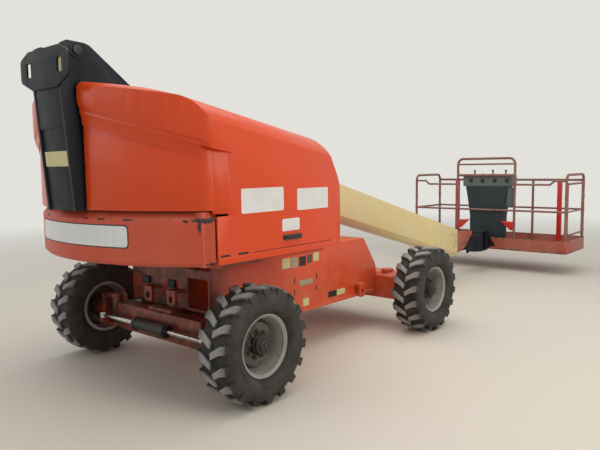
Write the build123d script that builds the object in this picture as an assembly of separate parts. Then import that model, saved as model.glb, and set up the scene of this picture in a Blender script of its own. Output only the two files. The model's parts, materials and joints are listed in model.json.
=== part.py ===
from build123d import *
from math import atan2, cos, degrees, hypot, radians, sin, sqrt, tan
import os

# Telescopic boom lift for rough ground, stowed with its boom low and in line with the chassis.
# Millimetres. X runs along the boom towards the platform, Y to the left, Z up from the ground.
# All places below are measured from the middle of the wheelbase; export() moves the whole
# machine along X so that the row's origin is under the centre of its overall length.

# Running gear
WHEELBASE = 2440
OVERALL_WIDTH = 2290
TYRE_RADIUS = 420
TYRE_WIDTH = 300
LUG_HEIGHT = 28
LUGS_A_SIDE = 18
LUG_WIDTH = 46
LUG_SWEEP = 62
RIM_SEAT_RADIUS = 209
RIM_FLANGE_RADIUS = 224
RIM_WIDTH = 226
RIM_WALL = 9
DISC_OFFSET = 18
DISC_THICKNESS = 12
HUB_RADIUS = 74
HUB_FLANGE_RADIUS = 104
HUB_NOSE = 62
SEAT_GAP = 0.3
WHEEL_Y = (OVERALL_WIDTH - TYRE_WIDTH) / 2
STEER_X = -WHEELBASE / 2
DRIVE_X = WHEELBASE / 2

# Axles and steering
BEAM_WIDTH = 200
BEAM_HEIGHT = 190
BEAM_NOTCH_Y = 540
BEAM_NOTCH_X = 48
DRIVE_BEAM_WIDTH = 280
DRIVE_BEAM_HEIGHT = 260
SPINDLE_RADIUS = 86
KINGPIN_Y = 700
KINGPIN_RADIUS = 28
BOSS_RADIUS = 55
BOSS_HEIGHT = 220
YOKE_EAR = 34
YOKE_WEB = 46
STEER_ARM = 158
STEER_BARREL_RADIUS = 46
STEER_BARREL_LENGTH = 380
STEER_ROD_RADIUS = 21
STEER_ROD_Z = 402
STEER_EYE_RADIUS = 34
ARM_THICKNESS = 30
ARM_CLEARANCE = 8

# Chassis frame
FRAME_HALF_WIDTH = 500
FRAME_BOTTOM = 360
FRAME_TOP = 930
FRAME_REAR_X = STEER_X + 30
BELLY_REAR_X = STEER_X + 108
FRAME_SHOULDER_X = DRIVE_X - 360
FRAME_NOSE_X = DRIVE_X - 158
FRAME_NOSE_Z = 655
POCKET_WIDTH = 240
POCKET_HEIGHT = 240
POCKET_DEPTH = 320
LUG_BORE_RADIUS = 26
LUG_PLATE = 26
SIDE_LUG_X = DRIVE_X - 475
SIDE_LUG_Z = 412
SIDE_LUG_STANDOFF = 40
REAR_LUG_Y = 150
REAR_LUG_Z = 630
REAR_LUG_STANDOFF = 74

# Turntable
SWING_X = -198
BEARING_RADIUS = 430
BEARING_HEIGHT = 60
DECK_THICKNESS = 28
DECK_HALF_WIDTH = 1000
DECK_REAR_X = -1558
DECK_SHOULDER_X = -430
TAIL_CENTRE_X = -396
TAIL_RADIUS = 1620
COUNTERWEIGHT_HALF_WIDTH = 1067
COUNTERWEIGHT_BOTTOM = 1016
COUNTERWEIGHT_TOP = 1372
COUNTERWEIGHT_BEVEL = 52
COUNTERWEIGHT_SIDE_X = -1616
HOOD_LAP = 26

# Side plates and rear panel of the mast
PLATE_OUTER_Y = 190
PLATE_THICKNESS = 25
PANEL_THICKNESS = 16
PANEL_BASE_X = -2070
PANEL_TOP_X = -2135
PANEL_STEP_Z = 2225
CROWN_X = -2185
CROWN_TOP_Z = 2495
SLOT_BOTTOM_Z = 2290
SLOT_HEIGHT = 100
SLOT_INNER_Y = 92

# Hoods
HOOD_HALF_WIDTH = 1080
HOOD_INNER_Y = 216
HOOD_WALL = 14
HOOD_BOTTOM = 1032
HOOD_TAIL_RADIUS = 1660
HOOD_RECESS_RADIUS = 1622
HOOD_REAR_BOTTOM = 1380
HOOD_ROOF_Z = 2235
HOOD_ROOF_X = -2000
HOOD_ROOF_SLOPE = 10.3
HOOD_CAMBER = 86
HOOD_SHOULDER = 215
HOOD_SHOULDER_Y = 900
HOOD_SPLIT_X = -1606
HOOD_FRONT_X = -228
BROW_DROP = 60
BROW_FALL = 0.21
BROW_UNDERSIDE = 88
ROLL_DROP = 40
ROLL_FALL = 0.10
ROLL_RADIUS = 60
TAIL_CORNER = 90
FRONT_CORNER = 130
RECESS_SIDE = 38
RECESS_CORNER = 110
RAMP_START_X = -1596
RAMP_END_X = -1450
RAMP_BOTTOM = 1342
LIP_HEIGHT = 46
LIP_PROUD = 10
LATCH_X = -897
LATCH_Z = 1152
HINGE_PLACES = (-1640, -900)
HINGE_LENGTH = 70
HINGE_RADIUS = 13
HINGE_PIN_RADIUS = 6
HINGE_RISE = 10

# Boom
PIVOT_X = -2014
PIVOT_Z = CROWN_TOP_Z - 59
BOOM_DROOP = 14.8
BOOM_WIDTH = 300
BOOM_HEIGHT = 365
BOOM_WALL = 10
BOOM_TOP_DROP = 179
BOOM_CHAMFER = 45
BOOM_REAR_S = 130
BASE_FRONT_X = 3700
SLEEVE_START_S = 5090
SLEEVE_PROUD = 4
EAR_THICKNESS = 25
PIVOT_PIN_RADIUS = 32
PIVOT_BOSS_RADIUS = 52
FLY_WIDTH = 226
FLY_HEIGHT = 272
FLY_WALL = 8
FLY_REAR_S = 560
FLY_FRONT_S = 6062
PAD_GAP = 0.5
NOSE_PLATE = 16
NOSE_HALF_WIDTH = 113
NOSE_PIVOT_S = 6430
NOSE_PIVOT_N = -162
NOSE_PIN_RADIUS = 22

# Lift cylinder
LIFT_BASE_X = -1690
LIFT_BASE_Z = 1477
LIFT_EYE_S = 2408
LIFT_EYE_DROP = 110
LIFT_BARREL_RADIUS = 72
LIFT_ROD_RADIUS = 40
LIFT_EYE_WIDTH = 84
LIFT_EYE_RADIUS = 52
LIFT_PIN_RADIUS = 25
BRACKET_PLATE = 22

# Platform
PLATFORM_X = 4950
PLATFORM_DEPTH = 900
PLATFORM_WIDTH = 2500
PLATFORM_BOTTOM = 330
FLOOR_THICKNESS = 40
TOE_HEIGHT = 150
TOE_WALL = 8
TOE_CORNER = 36
RAIL_RADIUS = 19
RAIL_INSET = 30
RAIL_HEIGHT = 1120
MID_RAIL_HEIGHT = 575
RAIL_BEND = 90
GUARD_Y = 465
GUARD_HEIGHT = 1380
RED_POST_Y = 870
OUTER_POST_Y = 450
GATE_WIDTH = 740
GATE_RADIUS = 15
DIP_Y = 1046
DIP_DEPTH = 85
ROTATOR_X = 4600
ROTATOR_RADIUS = 122
ROTATOR_HEIGHT = 262
MOUNT_PLATE = 22
MOUNT_POST_X = 4760

# Derived places
AXLE_Z = TYRE_RADIUS
DECK_BOTTOM = FRAME_TOP + BEARING_HEIGHT + SEAT_GAP
DECK_TOP = DECK_BOTTOM + DECK_THICKNESS
BOOM_BOTTOM_N = -BOOM_TOP_DROP - BOOM_HEIGHT
BOOM_CENTRE_N = -BOOM_TOP_DROP - BOOM_HEIGHT / 2
LIFT_EYE_N = BOOM_BOTTOM_N - LIFT_EYE_DROP
FLOOR_Z = PLATFORM_BOTTOM + FLOOR_THICKNESS
RAIL_TOP_Z = FLOOR_Z + RAIL_HEIGHT
MID_RAIL_Z = FLOOR_Z + MID_RAIL_HEIGHT
OUTER_TOP_Z = RAIL_TOP_Z - RAIL_BEND
RAIL_NEAR_X = PLATFORM_X + RAIL_INSET
RAIL_FAR_X = PLATFORM_X + PLATFORM_DEPTH - RAIL_INSET
RAIL_END_Y = PLATFORM_WIDTH / 2 - RAIL_INSET
ROTATOR_BOTTOM = PLATFORM_BOTTOM + 2
FRONT_REACH = PLATFORM_X + PLATFORM_DEPTH
REAR_REACH = CROWN_X
ORIGIN_X = (FRONT_REACH + REAR_REACH) / 2

HINGE_Y = HOOD_INNER_Y + 14
GATE_HINGE_X = RAIL_FAR_X - 42
GATE_X0 = GATE_HINGE_X - GATE_WIDTH
GATE_LOW = FLOOR_Z + TOE_HEIGHT + 40
GATE_HIGH = RAIL_TOP_Z - 95
FLY_TOP_N = BOOM_CENTRE_N + FLY_HEIGHT / 2
FLY_BOTTOM_N = BOOM_CENTRE_N - FLY_HEIGHT / 2

# Wear pads inside the mouth of the base boom: low n, high n, and their span across
FLY_PADS = [
    (BOOM_BOTTOM_N + BOOM_WALL - 1, FLY_BOTTOM_N - PAD_GAP, (-80, 80)),
    (FLY_TOP_N + PAD_GAP, -BOOM_TOP_DROP - BOOM_WALL + 1, (-80, 80)),
    (BOOM_CENTRE_N - 60, BOOM_CENTRE_N + 60, (FLY_WIDTH / 2 + PAD_GAP, BOOM_WIDTH / 2 - BOOM_WALL + 1)),
    (BOOM_CENTRE_N - 60, BOOM_CENTRE_N + 60, (-BOOM_WIDTH / 2 + BOOM_WALL - 1, -FLY_WIDTH / 2 - PAD_GAP)),
]

# A length past every piece, for cutting
BIG = 6000


# Helpers
def block(x, y, z):
    """A box between two values along each axis."""
    centre = Pos((x[0] + x[1]) / 2, (y[0] + y[1]) / 2, (z[0] + z[1]) / 2)
    return centre * Box(x[1] - x[0], y[1] - y[0], z[1] - z[0])


def rod(start, end, radius):
    """A round bar from one point to another."""
    span = Vector(*end) - Vector(*start)
    base = Plane(origin=start, z_dir=span)
    return base * Cylinder(radius, span.length, align=(Align.CENTER, Align.CENTER, Align.MIN))


def side_plane(y):
    return Plane(origin=(0, y, 0), x_dir=(1, 0, 0), z_dir=(0, -1, 0))


def side_plate(points, y0, y1):
    """A plate whose outline lies in X and Z, between two values of Y."""
    outline = make_face(Polyline(*points, close=True))
    return extrude(side_plane(max(y0, y1)) * outline, amount=abs(y1 - y0))


def cross_plate(points, x0, x1):
    """A plate whose outline lies in Y and Z, between two values of X."""
    outline = make_face(Polyline(*points, close=True))
    return extrude(Plane(origin=(x0, 0, 0), x_dir=(0, 1, 0), z_dir=(1, 0, 0)) * outline, amount=x1 - x0)


def flat_plate(points, z0, z1):
    """A plate whose outline lies in X and Y, between two values of Z."""
    outline = make_face(Polyline(*points, close=True))
    return extrude(Plane.XY.offset(z0) * outline, amount=z1 - z0)


def turned(points):
    """A ring about the Y axis from an outline of (y, radius)."""
    outline = make_face(Polyline(*points, close=True))
    ring = revolve(Plane.XY * outline, axis=Axis.X)
    return Rot(0, 0, 90) * ring


def mirrored_y(shape):
    return mirror(shape, about=Plane.XZ)


def bent_tube(points, radius, bend):
    """A round tube along straight runs with equal bends."""
    path = FilletPolyline(*points, radius=bend)
    ring = Plane(origin=path @ 0, z_dir=path % 0) * Circle(radius)
    return sweep(ring, path=path)


def on_boom(shape):
    """Moves a shape from the boom's own frame, origin at its pivot, to its place at rest."""
    return Pos(PIVOT_X, 0, PIVOT_Z) * Rot(0, BOOM_DROOP, 0) * shape


def boom_point(s, n):
    """X and Z of a point s along the boom and n above its pivot line."""
    a = radians(BOOM_DROOP)
    return PIVOT_X + s * cos(a) + n * sin(a), PIVOT_Z - s * sin(a) + n * cos(a)


# Wheels, made about the Y axis at the origin with their outer side towards +Y
def tyre():
    half = TYRE_WIDTH / 2
    tread = TYRE_RADIUS - LUG_HEIGHT
    seat = RIM_SEAT_RADIUS + SEAT_GAP
    bead_y = RIM_WIDTH / 2 - RIM_WALL
    flank = [
        # y, radius
        (bead_y, seat),
        (bead_y, RIM_FLANGE_RADIUS + 4),
        (half - 12, RIM_FLANGE_RADIUS + 26),
        (half, (RIM_FLANGE_RADIUS + tread) / 2),
        (half - 8, tread - 26),
        (half - 26, tread),
    ]
    carcass = turned(flank + [(-y, r) for y, r in reversed(flank)])
    envelope = turned([
        (half, 0), (half, TYRE_RADIUS - 24), (half - 34, TYRE_RADIUS),
        (-half + 34, TYRE_RADIUS), (-half, TYRE_RADIUS - 24), (-half, 0),
    ])
    w = LUG_WIDTH / 2
    bar = [
        # x along the tread, y across it, one lug with its elbow
        (-w, half + 2), (-w - 14, half * 0.52), (-w - LUG_SWEEP, 4),
        (w - LUG_SWEEP + 6, 4), (w - 10, half * 0.6), (w, half + 2),
    ]
    lug = flat_plate(bar, tread - 40, TYRE_RADIUS + 6) & envelope
    pitch = 360 / LUGS_A_SIDE
    left = [Rot(0, pitch * i, 0) * lug for i in range(LUGS_A_SIDE)]
    right = [Rot(0, pitch * (i + 0.5), 0) * mirrored_y(lug) for i in range(LUGS_A_SIDE)]
    return carcass.fuse(*left, *right)


def rim():
    half = RIM_WIDTH / 2
    inner = RIM_SEAT_RADIUS - RIM_WALL
    disc_out = DISC_OFFSET + DISC_THICKNESS
    bore = HUB_RADIUS + SEAT_GAP
    return turned([
        # y, radius
        (-half, inner), (DISC_OFFSET - 26, inner), (DISC_OFFSET, inner - 40), (DISC_OFFSET, bore),
        (disc_out, bore), (disc_out, inner - 34), (disc_out - 20, inner), (half, inner + 2),
        (half, RIM_FLANGE_RADIUS), (half - RIM_WALL, RIM_FLANGE_RADIUS), (half - RIM_WALL, RIM_SEAT_RADIUS),
        (-half + RIM_WALL, RIM_SEAT_RADIUS), (-half + RIM_WALL, RIM_FLANGE_RADIUS), (-half, RIM_FLANGE_RADIUS),
    ])


def hub():
    face = DISC_OFFSET + DISC_THICKNESS
    return turned([
        # y, radius
        (0, 0), (0, HUB_FLANGE_RADIUS), (DISC_OFFSET, HUB_FLANGE_RADIUS), (DISC_OFFSET, HUB_RADIUS),
        (face + HUB_NOSE - 8, HUB_RADIUS), (face + HUB_NOSE, HUB_RADIUS - 10),
        (face + HUB_NOSE, HUB_RADIUS * 0.55), (face + HUB_NOSE + 12, HUB_RADIUS * 0.5),
        (face + HUB_NOSE + 12, 0),
    ])


def at_wheel(shape, x, side):
    turned_side = shape if side > 0 else mirrored_y(shape)
    return Pos(x, side * WHEEL_Y, AXLE_Z) * turned_side


# Axles and steering
def steer_axle():
    boss_z = (AXLE_Z - BOSS_HEIGHT / 2, AXLE_Z + BOSS_HEIGHT / 2)
    beam_end = KINGPIN_Y - BOSS_RADIUS + 20
    half = BEAM_WIDTH / 2
    beam = cross_plate([
        (-beam_end, AXLE_Z - 70), (-beam_end + 140, AXLE_Z - BEAM_HEIGHT / 2 - 25),
        (beam_end - 140, AXLE_Z - BEAM_HEIGHT / 2 - 25), (beam_end, AXLE_Z - 70),
        (beam_end, AXLE_Z + 70), (beam_end - 140, AXLE_Z + BEAM_HEIGHT / 2),
        (-beam_end + 140, AXLE_Z + BEAM_HEIGHT / 2), (-beam_end, AXLE_Z + 70),
    ], STEER_X - half, STEER_X + half)
    trunnion = block((STEER_X - 70, STEER_X + 100), (-150, 150), (AXLE_Z, AXLE_Z + BEAM_HEIGHT / 2 + 25))
    solid = beam + trunnion
    for side in (-1, 1):
        arm_room = sorted((side * BEAM_NOTCH_Y, side * KINGPIN_Y))
        solid -= block((STEER_X - half - 10, STEER_X - BEAM_NOTCH_X), arm_room, (AXLE_Z - 200, AXLE_Z + 200))
        y = side * KINGPIN_Y
        clear = rod((STEER_X, y, boss_z[0] - 90), (STEER_X, y, boss_z[1] + 90), BOSS_RADIUS + 34)
        solid -= clear
        neck = block((STEER_X - 42, STEER_X + 42), sorted((y, side * (KINGPIN_Y - 130))), (AXLE_Z - 66, AXLE_Z + 66))
        solid += neck + rod((STEER_X, y, boss_z[0]), (STEER_X, y, boss_z[1]), BOSS_RADIUS)
        solid -= rod((STEER_X, y, boss_z[0] - 10), (STEER_X, y, boss_z[1] + 10), KINGPIN_RADIUS + SEAT_GAP)
    return solid


def knuckle(side):
    low = AXLE_Z - BOSS_HEIGHT / 2 - SEAT_GAP
    high = AXLE_Z + BOSS_HEIGHT / 2 + SEAT_GAP
    web_in = KINGPIN_Y + BOSS_RADIUS + 12
    web_out = web_in + YOKE_WEB
    ear_radius = BOSS_RADIUS + 6
    solid = block((STEER_X - 92, STEER_X + 92), (web_in, web_out), (low - YOKE_EAR, high + YOKE_EAR))
    for z0, z1 in ((low - YOKE_EAR, low), (high, high + YOKE_EAR)):
        solid += rod((STEER_X, KINGPIN_Y, z0), (STEER_X, KINGPIN_Y, z1), ear_radius)
        solid += block((STEER_X - ear_radius, STEER_X + ear_radius), (KINGPIN_Y, web_in + 4), (z0, z1))
    solid += rod((STEER_X, KINGPIN_Y, low - YOKE_EAR - 6), (STEER_X, KINGPIN_Y, high + YOKE_EAR + 10), KINGPIN_RADIUS)
    solid += rod((STEER_X, web_out - 2, AXLE_Z), (STEER_X, WHEEL_Y - SEAT_GAP, AXLE_Z), SPINDLE_RADIUS)
    arm_top = STEER_ROD_Z - STEER_ROD_RADIUS - ARM_CLEARANCE
    eye_y = KINGPIN_Y - 20
    arm = flat_plate([
        (STEER_X - 40, web_out), (STEER_X - 80, web_out), (STEER_X - STEER_ARM - 30, eye_y + 24),
        (STEER_X - STEER_ARM - 30, eye_y - 30), (STEER_X - STEER_ARM + 30, eye_y - 30),
        (STEER_X - STEER_ARM + 38, eye_y + 10), (STEER_X - 80, web_in), (STEER_X - 40, web_in),
    ], arm_top - ARM_THICKNESS, arm_top)
    solid += arm
    return solid if side > 0 else mirrored_y(solid)


def steering_barrel():
    x = STEER_X - STEER_ARM
    half = STEER_BARREL_LENGTH / 2
    solid = rod((x, -half, STEER_ROD_Z), (x, half, STEER_ROD_Z), STEER_BARREL_RADIUS)
    for y in (-half * 0.62, half * 0.62):
        foot = (STEER_ROD_Z - STEER_BARREL_RADIUS * 0.8, STEER_ROD_Z + STEER_BARREL_RADIUS * 0.8)
        solid += block((x, STEER_X - BEAM_WIDTH / 2), (y - 28, y + 28), foot)
    for y in (-half, half):
        solid += rod((x, y - 14, STEER_ROD_Z), (x, y + 14, STEER_ROD_Z), STEER_BARREL_RADIUS + 8)
    bore = rod((x, -half - 30, STEER_ROD_Z), (x, half + 30, STEER_ROD_Z), STEER_ROD_RADIUS + SEAT_GAP)
    return solid - bore


def steering_rod():
    x = STEER_X - STEER_ARM
    eye_y = KINGPIN_Y - 20
    solid = rod((x, -eye_y, STEER_ROD_Z), (x, eye_y, STEER_ROD_Z), STEER_ROD_RADIUS)
    for y in (-eye_y, eye_y):
        low = STEER_ROD_Z - STEER_ROD_RADIUS
        high = STEER_ROD_Z + STEER_ROD_RADIUS + 6
        solid += rod((x, y, low), (x, y, high), STEER_EYE_RADIUS)
    return solid


def drive_axle():
    half_w = DRIVE_BEAM_WIDTH / 2
    half_h = DRIVE_BEAM_HEIGHT / 2
    chamfer = 34
    beam_end = WHEEL_Y - TYRE_WIDTH / 2 - 60
    section = [
        # x, z about the axle's centre, chamfered along the top
        (-half_w, -half_h), (half_w, -half_h), (half_w, half_h - chamfer), (half_w - chamfer, half_h),
        (-half_w + chamfer, half_h), (-half_w, half_h - chamfer),
    ]
    points = [(DRIVE_X + x, AXLE_Z + z) for x, z in section]
    solid = side_plate(points, -beam_end, beam_end)
    solid += rod((DRIVE_X, -WHEEL_Y + SEAT_GAP, AXLE_Z), (DRIVE_X, WHEEL_Y - SEAT_GAP, AXLE_Z), SPINDLE_RADIUS)
    bulge = rod((DRIVE_X, 0, AXLE_Z - 150), (DRIVE_X, 0, AXLE_Z), half_w - 1)
    solid += bulge
    for side in (-1, 1):
        y = side * (FRAME_HALF_WIDTH + 90)
        pad = rod((DRIVE_X - 60, y, AXLE_Z + half_h), (DRIVE_X - 60, y, AXLE_Z + half_h + 36), 62)
        solid += pad
        y0, y1 = side * (beam_end - 6), side * (beam_end + 40)
        solid += rod((DRIVE_X, y0, AXLE_Z), (DRIVE_X, y1, AXLE_Z), SPINDLE_RADIUS + 32)
    return solid


# Chassis frame, a closed box with a notch over the steer axle
def chassis_frame():
    seat = AXLE_Z + BEAM_HEIGHT / 2 + 25
    nose_foot = DRIVE_X - DRIVE_BEAM_WIDTH / 2
    outline = [
        (BELLY_REAR_X, FRAME_BOTTOM), (nose_foot, FRAME_BOTTOM), (nose_foot, FRAME_NOSE_Z - 40),
        (FRAME_NOSE_X, FRAME_NOSE_Z), (FRAME_SHOULDER_X, FRAME_TOP), (FRAME_REAR_X + 60, FRAME_TOP),
        (FRAME_REAR_X, FRAME_TOP - 60), (FRAME_REAR_X, seat), (BELLY_REAR_X, seat),
    ]
    solid = side_plate(outline, -FRAME_HALF_WIDTH, FRAME_HALF_WIDTH)
    edge = FRAME_HALF_WIDTH - 20
    pocket_z = FRAME_TOP - 130
    pocket = block((FRAME_REAR_X - 10, FRAME_REAR_X + POCKET_DEPTH), (-edge, -edge + POCKET_WIDTH),
                   (pocket_z - POCKET_HEIGHT, pocket_z))
    solid -= pocket
    flange = 22
    for side in (-1, 1):
        y = sorted((side * FRAME_HALF_WIDTH, side * (FRAME_HALF_WIDTH + flange)))
        solid += block((BELLY_REAR_X + 40, nose_foot - 60), y, (FRAME_BOTTOM, FRAME_BOTTOM + flange))
        solid += side_lug(side)
        solid += rear_lug(side)
    return solid


def side_lug(side):
    """A holed plate standing off the frame's side near the drive axle, hung from a short arm."""
    inner = side * FRAME_HALF_WIDTH
    face = side * (FRAME_HALF_WIDTH + SIDE_LUG_STANDOFF)
    outer = face + side * LUG_PLATE
    x, z = SIDE_LUG_X, SIDE_LUG_Z
    plate = side_plate([(x - 45, z + 78), (x - 45, z - 40), (x - 28, z - 57), (x + 28, z - 57), (x + 45, z - 40),
                        (x + 45, z + 78)], face, outer)
    arm = block((x - 45, x + 45), sorted((inner, outer)), (z + 50, z + 78))
    return plate + arm - rod((x, inner, z), (x, outer + side * 20, z), LUG_BORE_RADIUS)


def rear_lug(side):
    """A holed plate standing off the frame's rear face over the steer axle."""
    y, z = side * REAR_LUG_Y, REAR_LUG_Z
    front = FRAME_REAR_X - REAR_LUG_STANDOFF
    rear = front - LUG_PLATE
    plate = cross_plate([(y - 52, z + 72), (y - 52, z - 34), (y - 34, z - 52), (y + 34, z - 52), (y + 52, z - 34),
                         (y + 52, z + 72)], rear, front)
    arm = block((rear, FRAME_REAR_X), (y - 52, y + 52), (z + 48, z + 72))
    return plate + arm - rod((rear - 20, y, z), (front + 20, y, z), LUG_BORE_RADIUS)


def slewing_ring():
    return rod((SWING_X, 0, FRAME_TOP), (SWING_X, 0, FRAME_TOP + BEARING_HEIGHT), BEARING_RADIUS)


# Turntable
def turntable_deck():
    tongue = SWING_X + BEARING_RADIUS + 30
    narrow = BEARING_RADIUS + 30
    outline = [
        (DECK_REAR_X, -DECK_HALF_WIDTH), (DECK_SHOULDER_X, -DECK_HALF_WIDTH), (DECK_SHOULDER_X + 90, -narrow),
        (tongue - 150, -narrow), (tongue, -narrow + 200), (tongue, narrow - 200), (tongue - 150, narrow),
        (DECK_SHOULDER_X + 90, narrow), (DECK_SHOULDER_X, DECK_HALF_WIDTH), (DECK_REAR_X, DECK_HALF_WIDTH),
    ]
    return flat_plate(outline, DECK_BOTTOM, DECK_TOP)


def tail_outline(radius, half_width, front_x):
    """Plan with an arc at the tail and a straight front."""
    back_x = TAIL_CENTRE_X - sqrt(radius ** 2 - half_width ** 2)
    arc = ThreePointArc((back_x, half_width), (TAIL_CENTRE_X - radius, 0), (back_x, -half_width))
    rest = Polyline((back_x, -half_width), (front_x, -half_width), (front_x, half_width), (back_x, half_width))
    return make_face(arc + rest)


def counterweight():
    """A cast slab with a round tail, bevelled along its upper edge and steeper along its lower one."""
    hw = COUNTERWEIGHT_HALF_WIDTH
    side_x = COUNTERWEIGHT_SIDE_X + 1
    low, top = COUNTERWEIGHT_BOTTOM, COUNTERWEIGHT_TOP
    bevel = COUNTERWEIGHT_BEVEL
    inset = bevel * 0.8
    foot = 24
    plan = extrude(Plane.XY.offset(low) * tail_outline(TAIL_RADIUS, hw, side_x), amount=top - low)
    drum = revolve(Plane.XZ * make_face(Polyline(
        (0, low), (TAIL_RADIUS - foot, low), (TAIL_RADIUS, low + foot), (TAIL_RADIUS, top - bevel),
        (TAIL_RADIUS - inset, top), (0, top), close=True)), axis=Axis.Z)
    bar = cross_plate([
        (-hw + foot, low), (hw - foot, low), (hw, low + foot), (hw, top - bevel), (hw - inset, top),
        (-hw + inset, top), (-hw, top - bevel), (-hw, low + foot),
    ], -BIG / 2, 0)
    body = plan & (Pos(TAIL_CENTRE_X, 0, 0) * drum) & bar
    core_y = hw - HOOD_LAP - 30
    core = block((side_x - 60, DECK_REAR_X - SEAT_GAP), (-core_y, core_y), (low, top))
    return body + core


def plate_profile():
    """Outline of one side plate, from the counterweight's top round the crown to the deck."""
    roof = [roof_point(-1450, -14), roof_point(-800, -36)]
    return [
        (DECK_REAR_X + 8, DECK_TOP), (DECK_REAR_X + 8, COUNTERWEIGHT_TOP + 1), (PANEL_BASE_X, COUNTERWEIGHT_TOP + 1),
        (PANEL_TOP_X, PANEL_STEP_Z), (CROWN_X, PANEL_STEP_Z + 36), (CROWN_X, CROWN_TOP_Z - 100),
        (CROWN_X + 72, CROWN_TOP_Z - 18), (CROWN_X + 108, CROWN_TOP_Z), (CROWN_X + 232, CROWN_TOP_Z - 5),
        (CROWN_X + 268, CROWN_TOP_Z - 16), *roof, (-660, 1500), (-560, DECK_TOP),
    ]


def roof_point(x, rise):
    return x, HOOD_ROOF_Z - (x - HOOD_ROOF_X) * tan(radians(HOOD_ROOF_SLOPE)) + rise


def side_plate_of_mast(side):
    inner = PLATE_OUTER_Y - PLATE_THICKNESS
    solid = side_plate(plate_profile(), side * inner, side * PLATE_OUTER_Y)
    y0, y1 = side * (inner - 5), side * (PLATE_OUTER_Y + 30)
    boss = rod((PIVOT_X, side * PLATE_OUTER_Y, PIVOT_Z), (PIVOT_X, side * (PLATE_OUTER_Y + 10), PIVOT_Z),
               PIVOT_PIN_RADIUS + 20)
    solid += boss
    solid -= rod((PIVOT_X, y0, PIVOT_Z), (PIVOT_X, y1, PIVOT_Z), PIVOT_PIN_RADIUS + SEAT_GAP)
    for x in HINGE_PLACES:
        solid += hinge_bracket(x, side)
    solid -= rod((LIFT_BASE_X, y0, LIFT_BASE_Z), (LIFT_BASE_X, y1, LIFT_BASE_Z), LIFT_PIN_RADIUS + SEAT_GAP)
    return solid


def on_roof(x, rise):
    """A frame on the roof line, its X down the slope and its Z square to the roof."""
    point = roof_point(x, rise)
    return Pos(point[0], 0, point[1]) * Rot(0, HOOD_ROOF_SLOPE, 0)


def hinge_bracket(x, side):
    """Ears on the side plate that hold a hood's hinge pin, either side of the hood's knuckle."""
    half = HINGE_LENGTH / 2
    foot = -90
    pin = rod((-half - 24, side * HINGE_Y, 0), (half + 24, side * HINGE_Y, 0), HINGE_PIN_RADIUS)
    solid = pin
    for x0 in (-half - 18, half + 2):
        arm = cross_plate([
            (side * (PLATE_OUTER_Y - 4), foot), (side * (PLATE_OUTER_Y - 4), 12),
            (side * (HINGE_Y + 8), 12), (side * (HINGE_Y + 8), -10),
            (side * (PLATE_OUTER_Y + 8), foot),
        ], x0, x0 + 16)
        solid += arm
    return on_roof(x, HINGE_RISE) * solid


def rear_panel():
    """The plate between the side plates: a plain lower half and a slotted crown."""
    y = PLATE_OUTER_Y - PLATE_THICKNESS - SEAT_GAP
    t = PANEL_THICKNESS
    set_in = 10
    seam_z = 1930
    lean = (PANEL_TOP_X - PANEL_BASE_X) / (PANEL_STEP_Z - COUNTERWEIGHT_TOP)

    def x_at(z):
        return PANEL_BASE_X + lean * (z - COUNTERWEIGHT_TOP)

    low_z = COUNTERWEIGHT_TOP + 2
    lower = side_plate([
        (x_at(low_z) + set_in, low_z), (x_at(seam_z) + set_in, seam_z),
        (x_at(seam_z) + set_in + t, seam_z), (x_at(low_z) + set_in + t, low_z),
    ], -y, y)
    upper = side_plate([
        (x_at(seam_z) + 2, seam_z), (x_at(PANEL_STEP_Z) + 2, PANEL_STEP_Z),
        (CROWN_X + 14, PANEL_STEP_Z + 40), (CROWN_X + 14, CROWN_TOP_Z - 60),
        (CROWN_X + 14 + t, CROWN_TOP_Z - 60), (CROWN_X + 14 + t, PANEL_STEP_Z + 44),
        (x_at(PANEL_STEP_Z) + 2 + t + 6, PANEL_STEP_Z), (x_at(seam_z) + set_in + t, seam_z),
    ], -y, y)
    for side in (-1, 1):
        slot = block((CROWN_X - 20, CROWN_X + 60), sorted((side * SLOT_INNER_Y, side * (y + 5))),
                     (SLOT_BOTTOM_Z, SLOT_BOTTOM_Z + SLOT_HEIGHT))
        upper -= slot
    return lower + upper


def engine_block():
    return block((-1480, -760), (420, 900), (DECK_TOP, DECK_TOP + 640)) + \
        block((-1400, -860), (480, 840), (DECK_TOP + 640, DECK_TOP + 760))


def tank_block():
    tank = block((-1480, -640), (-960, -420), (DECK_TOP, DECK_TOP + 620))
    return fillet(tank.edges().filter_by(Axis.X), 60)


# Hoods: the shape common to a plan, a side profile and a cross-section, then hollowed
def rounded_tail(radius, side_y, corner, inner_y):
    """Edges of one hood's plan at the tail: an arc, then a rounded corner into the side."""
    centre_y = side_y - corner
    centre_x = TAIL_CENTRE_X - sqrt((radius - corner) ** 2 - centre_y ** 2)
    ux, uy = (centre_x - TAIL_CENTRE_X) / (radius - corner), centre_y / (radius - corner)
    meet = (centre_x + corner * ux, centre_y + corner * uy)
    turn = atan2(ux, uy) / 2
    start = (TAIL_CENTRE_X - sqrt(radius ** 2 - inner_y ** 2), inner_y)
    mid_y = (inner_y + meet[1]) / 2
    mid = (TAIL_CENTRE_X - sqrt(radius ** 2 - mid_y ** 2), mid_y)
    return [
        ThreePointArc(start, mid, meet),
        ThreePointArc(meet, (centre_x + corner * sin(turn), centre_y + corner * cos(turn)), (centre_x, side_y)),
    ]


def closed_by(edges, points):
    """A face bounded by some edges and then straight runs through the points, back to the start."""
    start, end = edges[0] @ 0, edges[-1] @ 1
    corners = [(end.X, end.Y), *points, (start.X, start.Y)]
    runs = [Line(a, b) for a, b in zip(corners, corners[1:])]
    return make_face(Curve() + [*edges, *runs])


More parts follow.
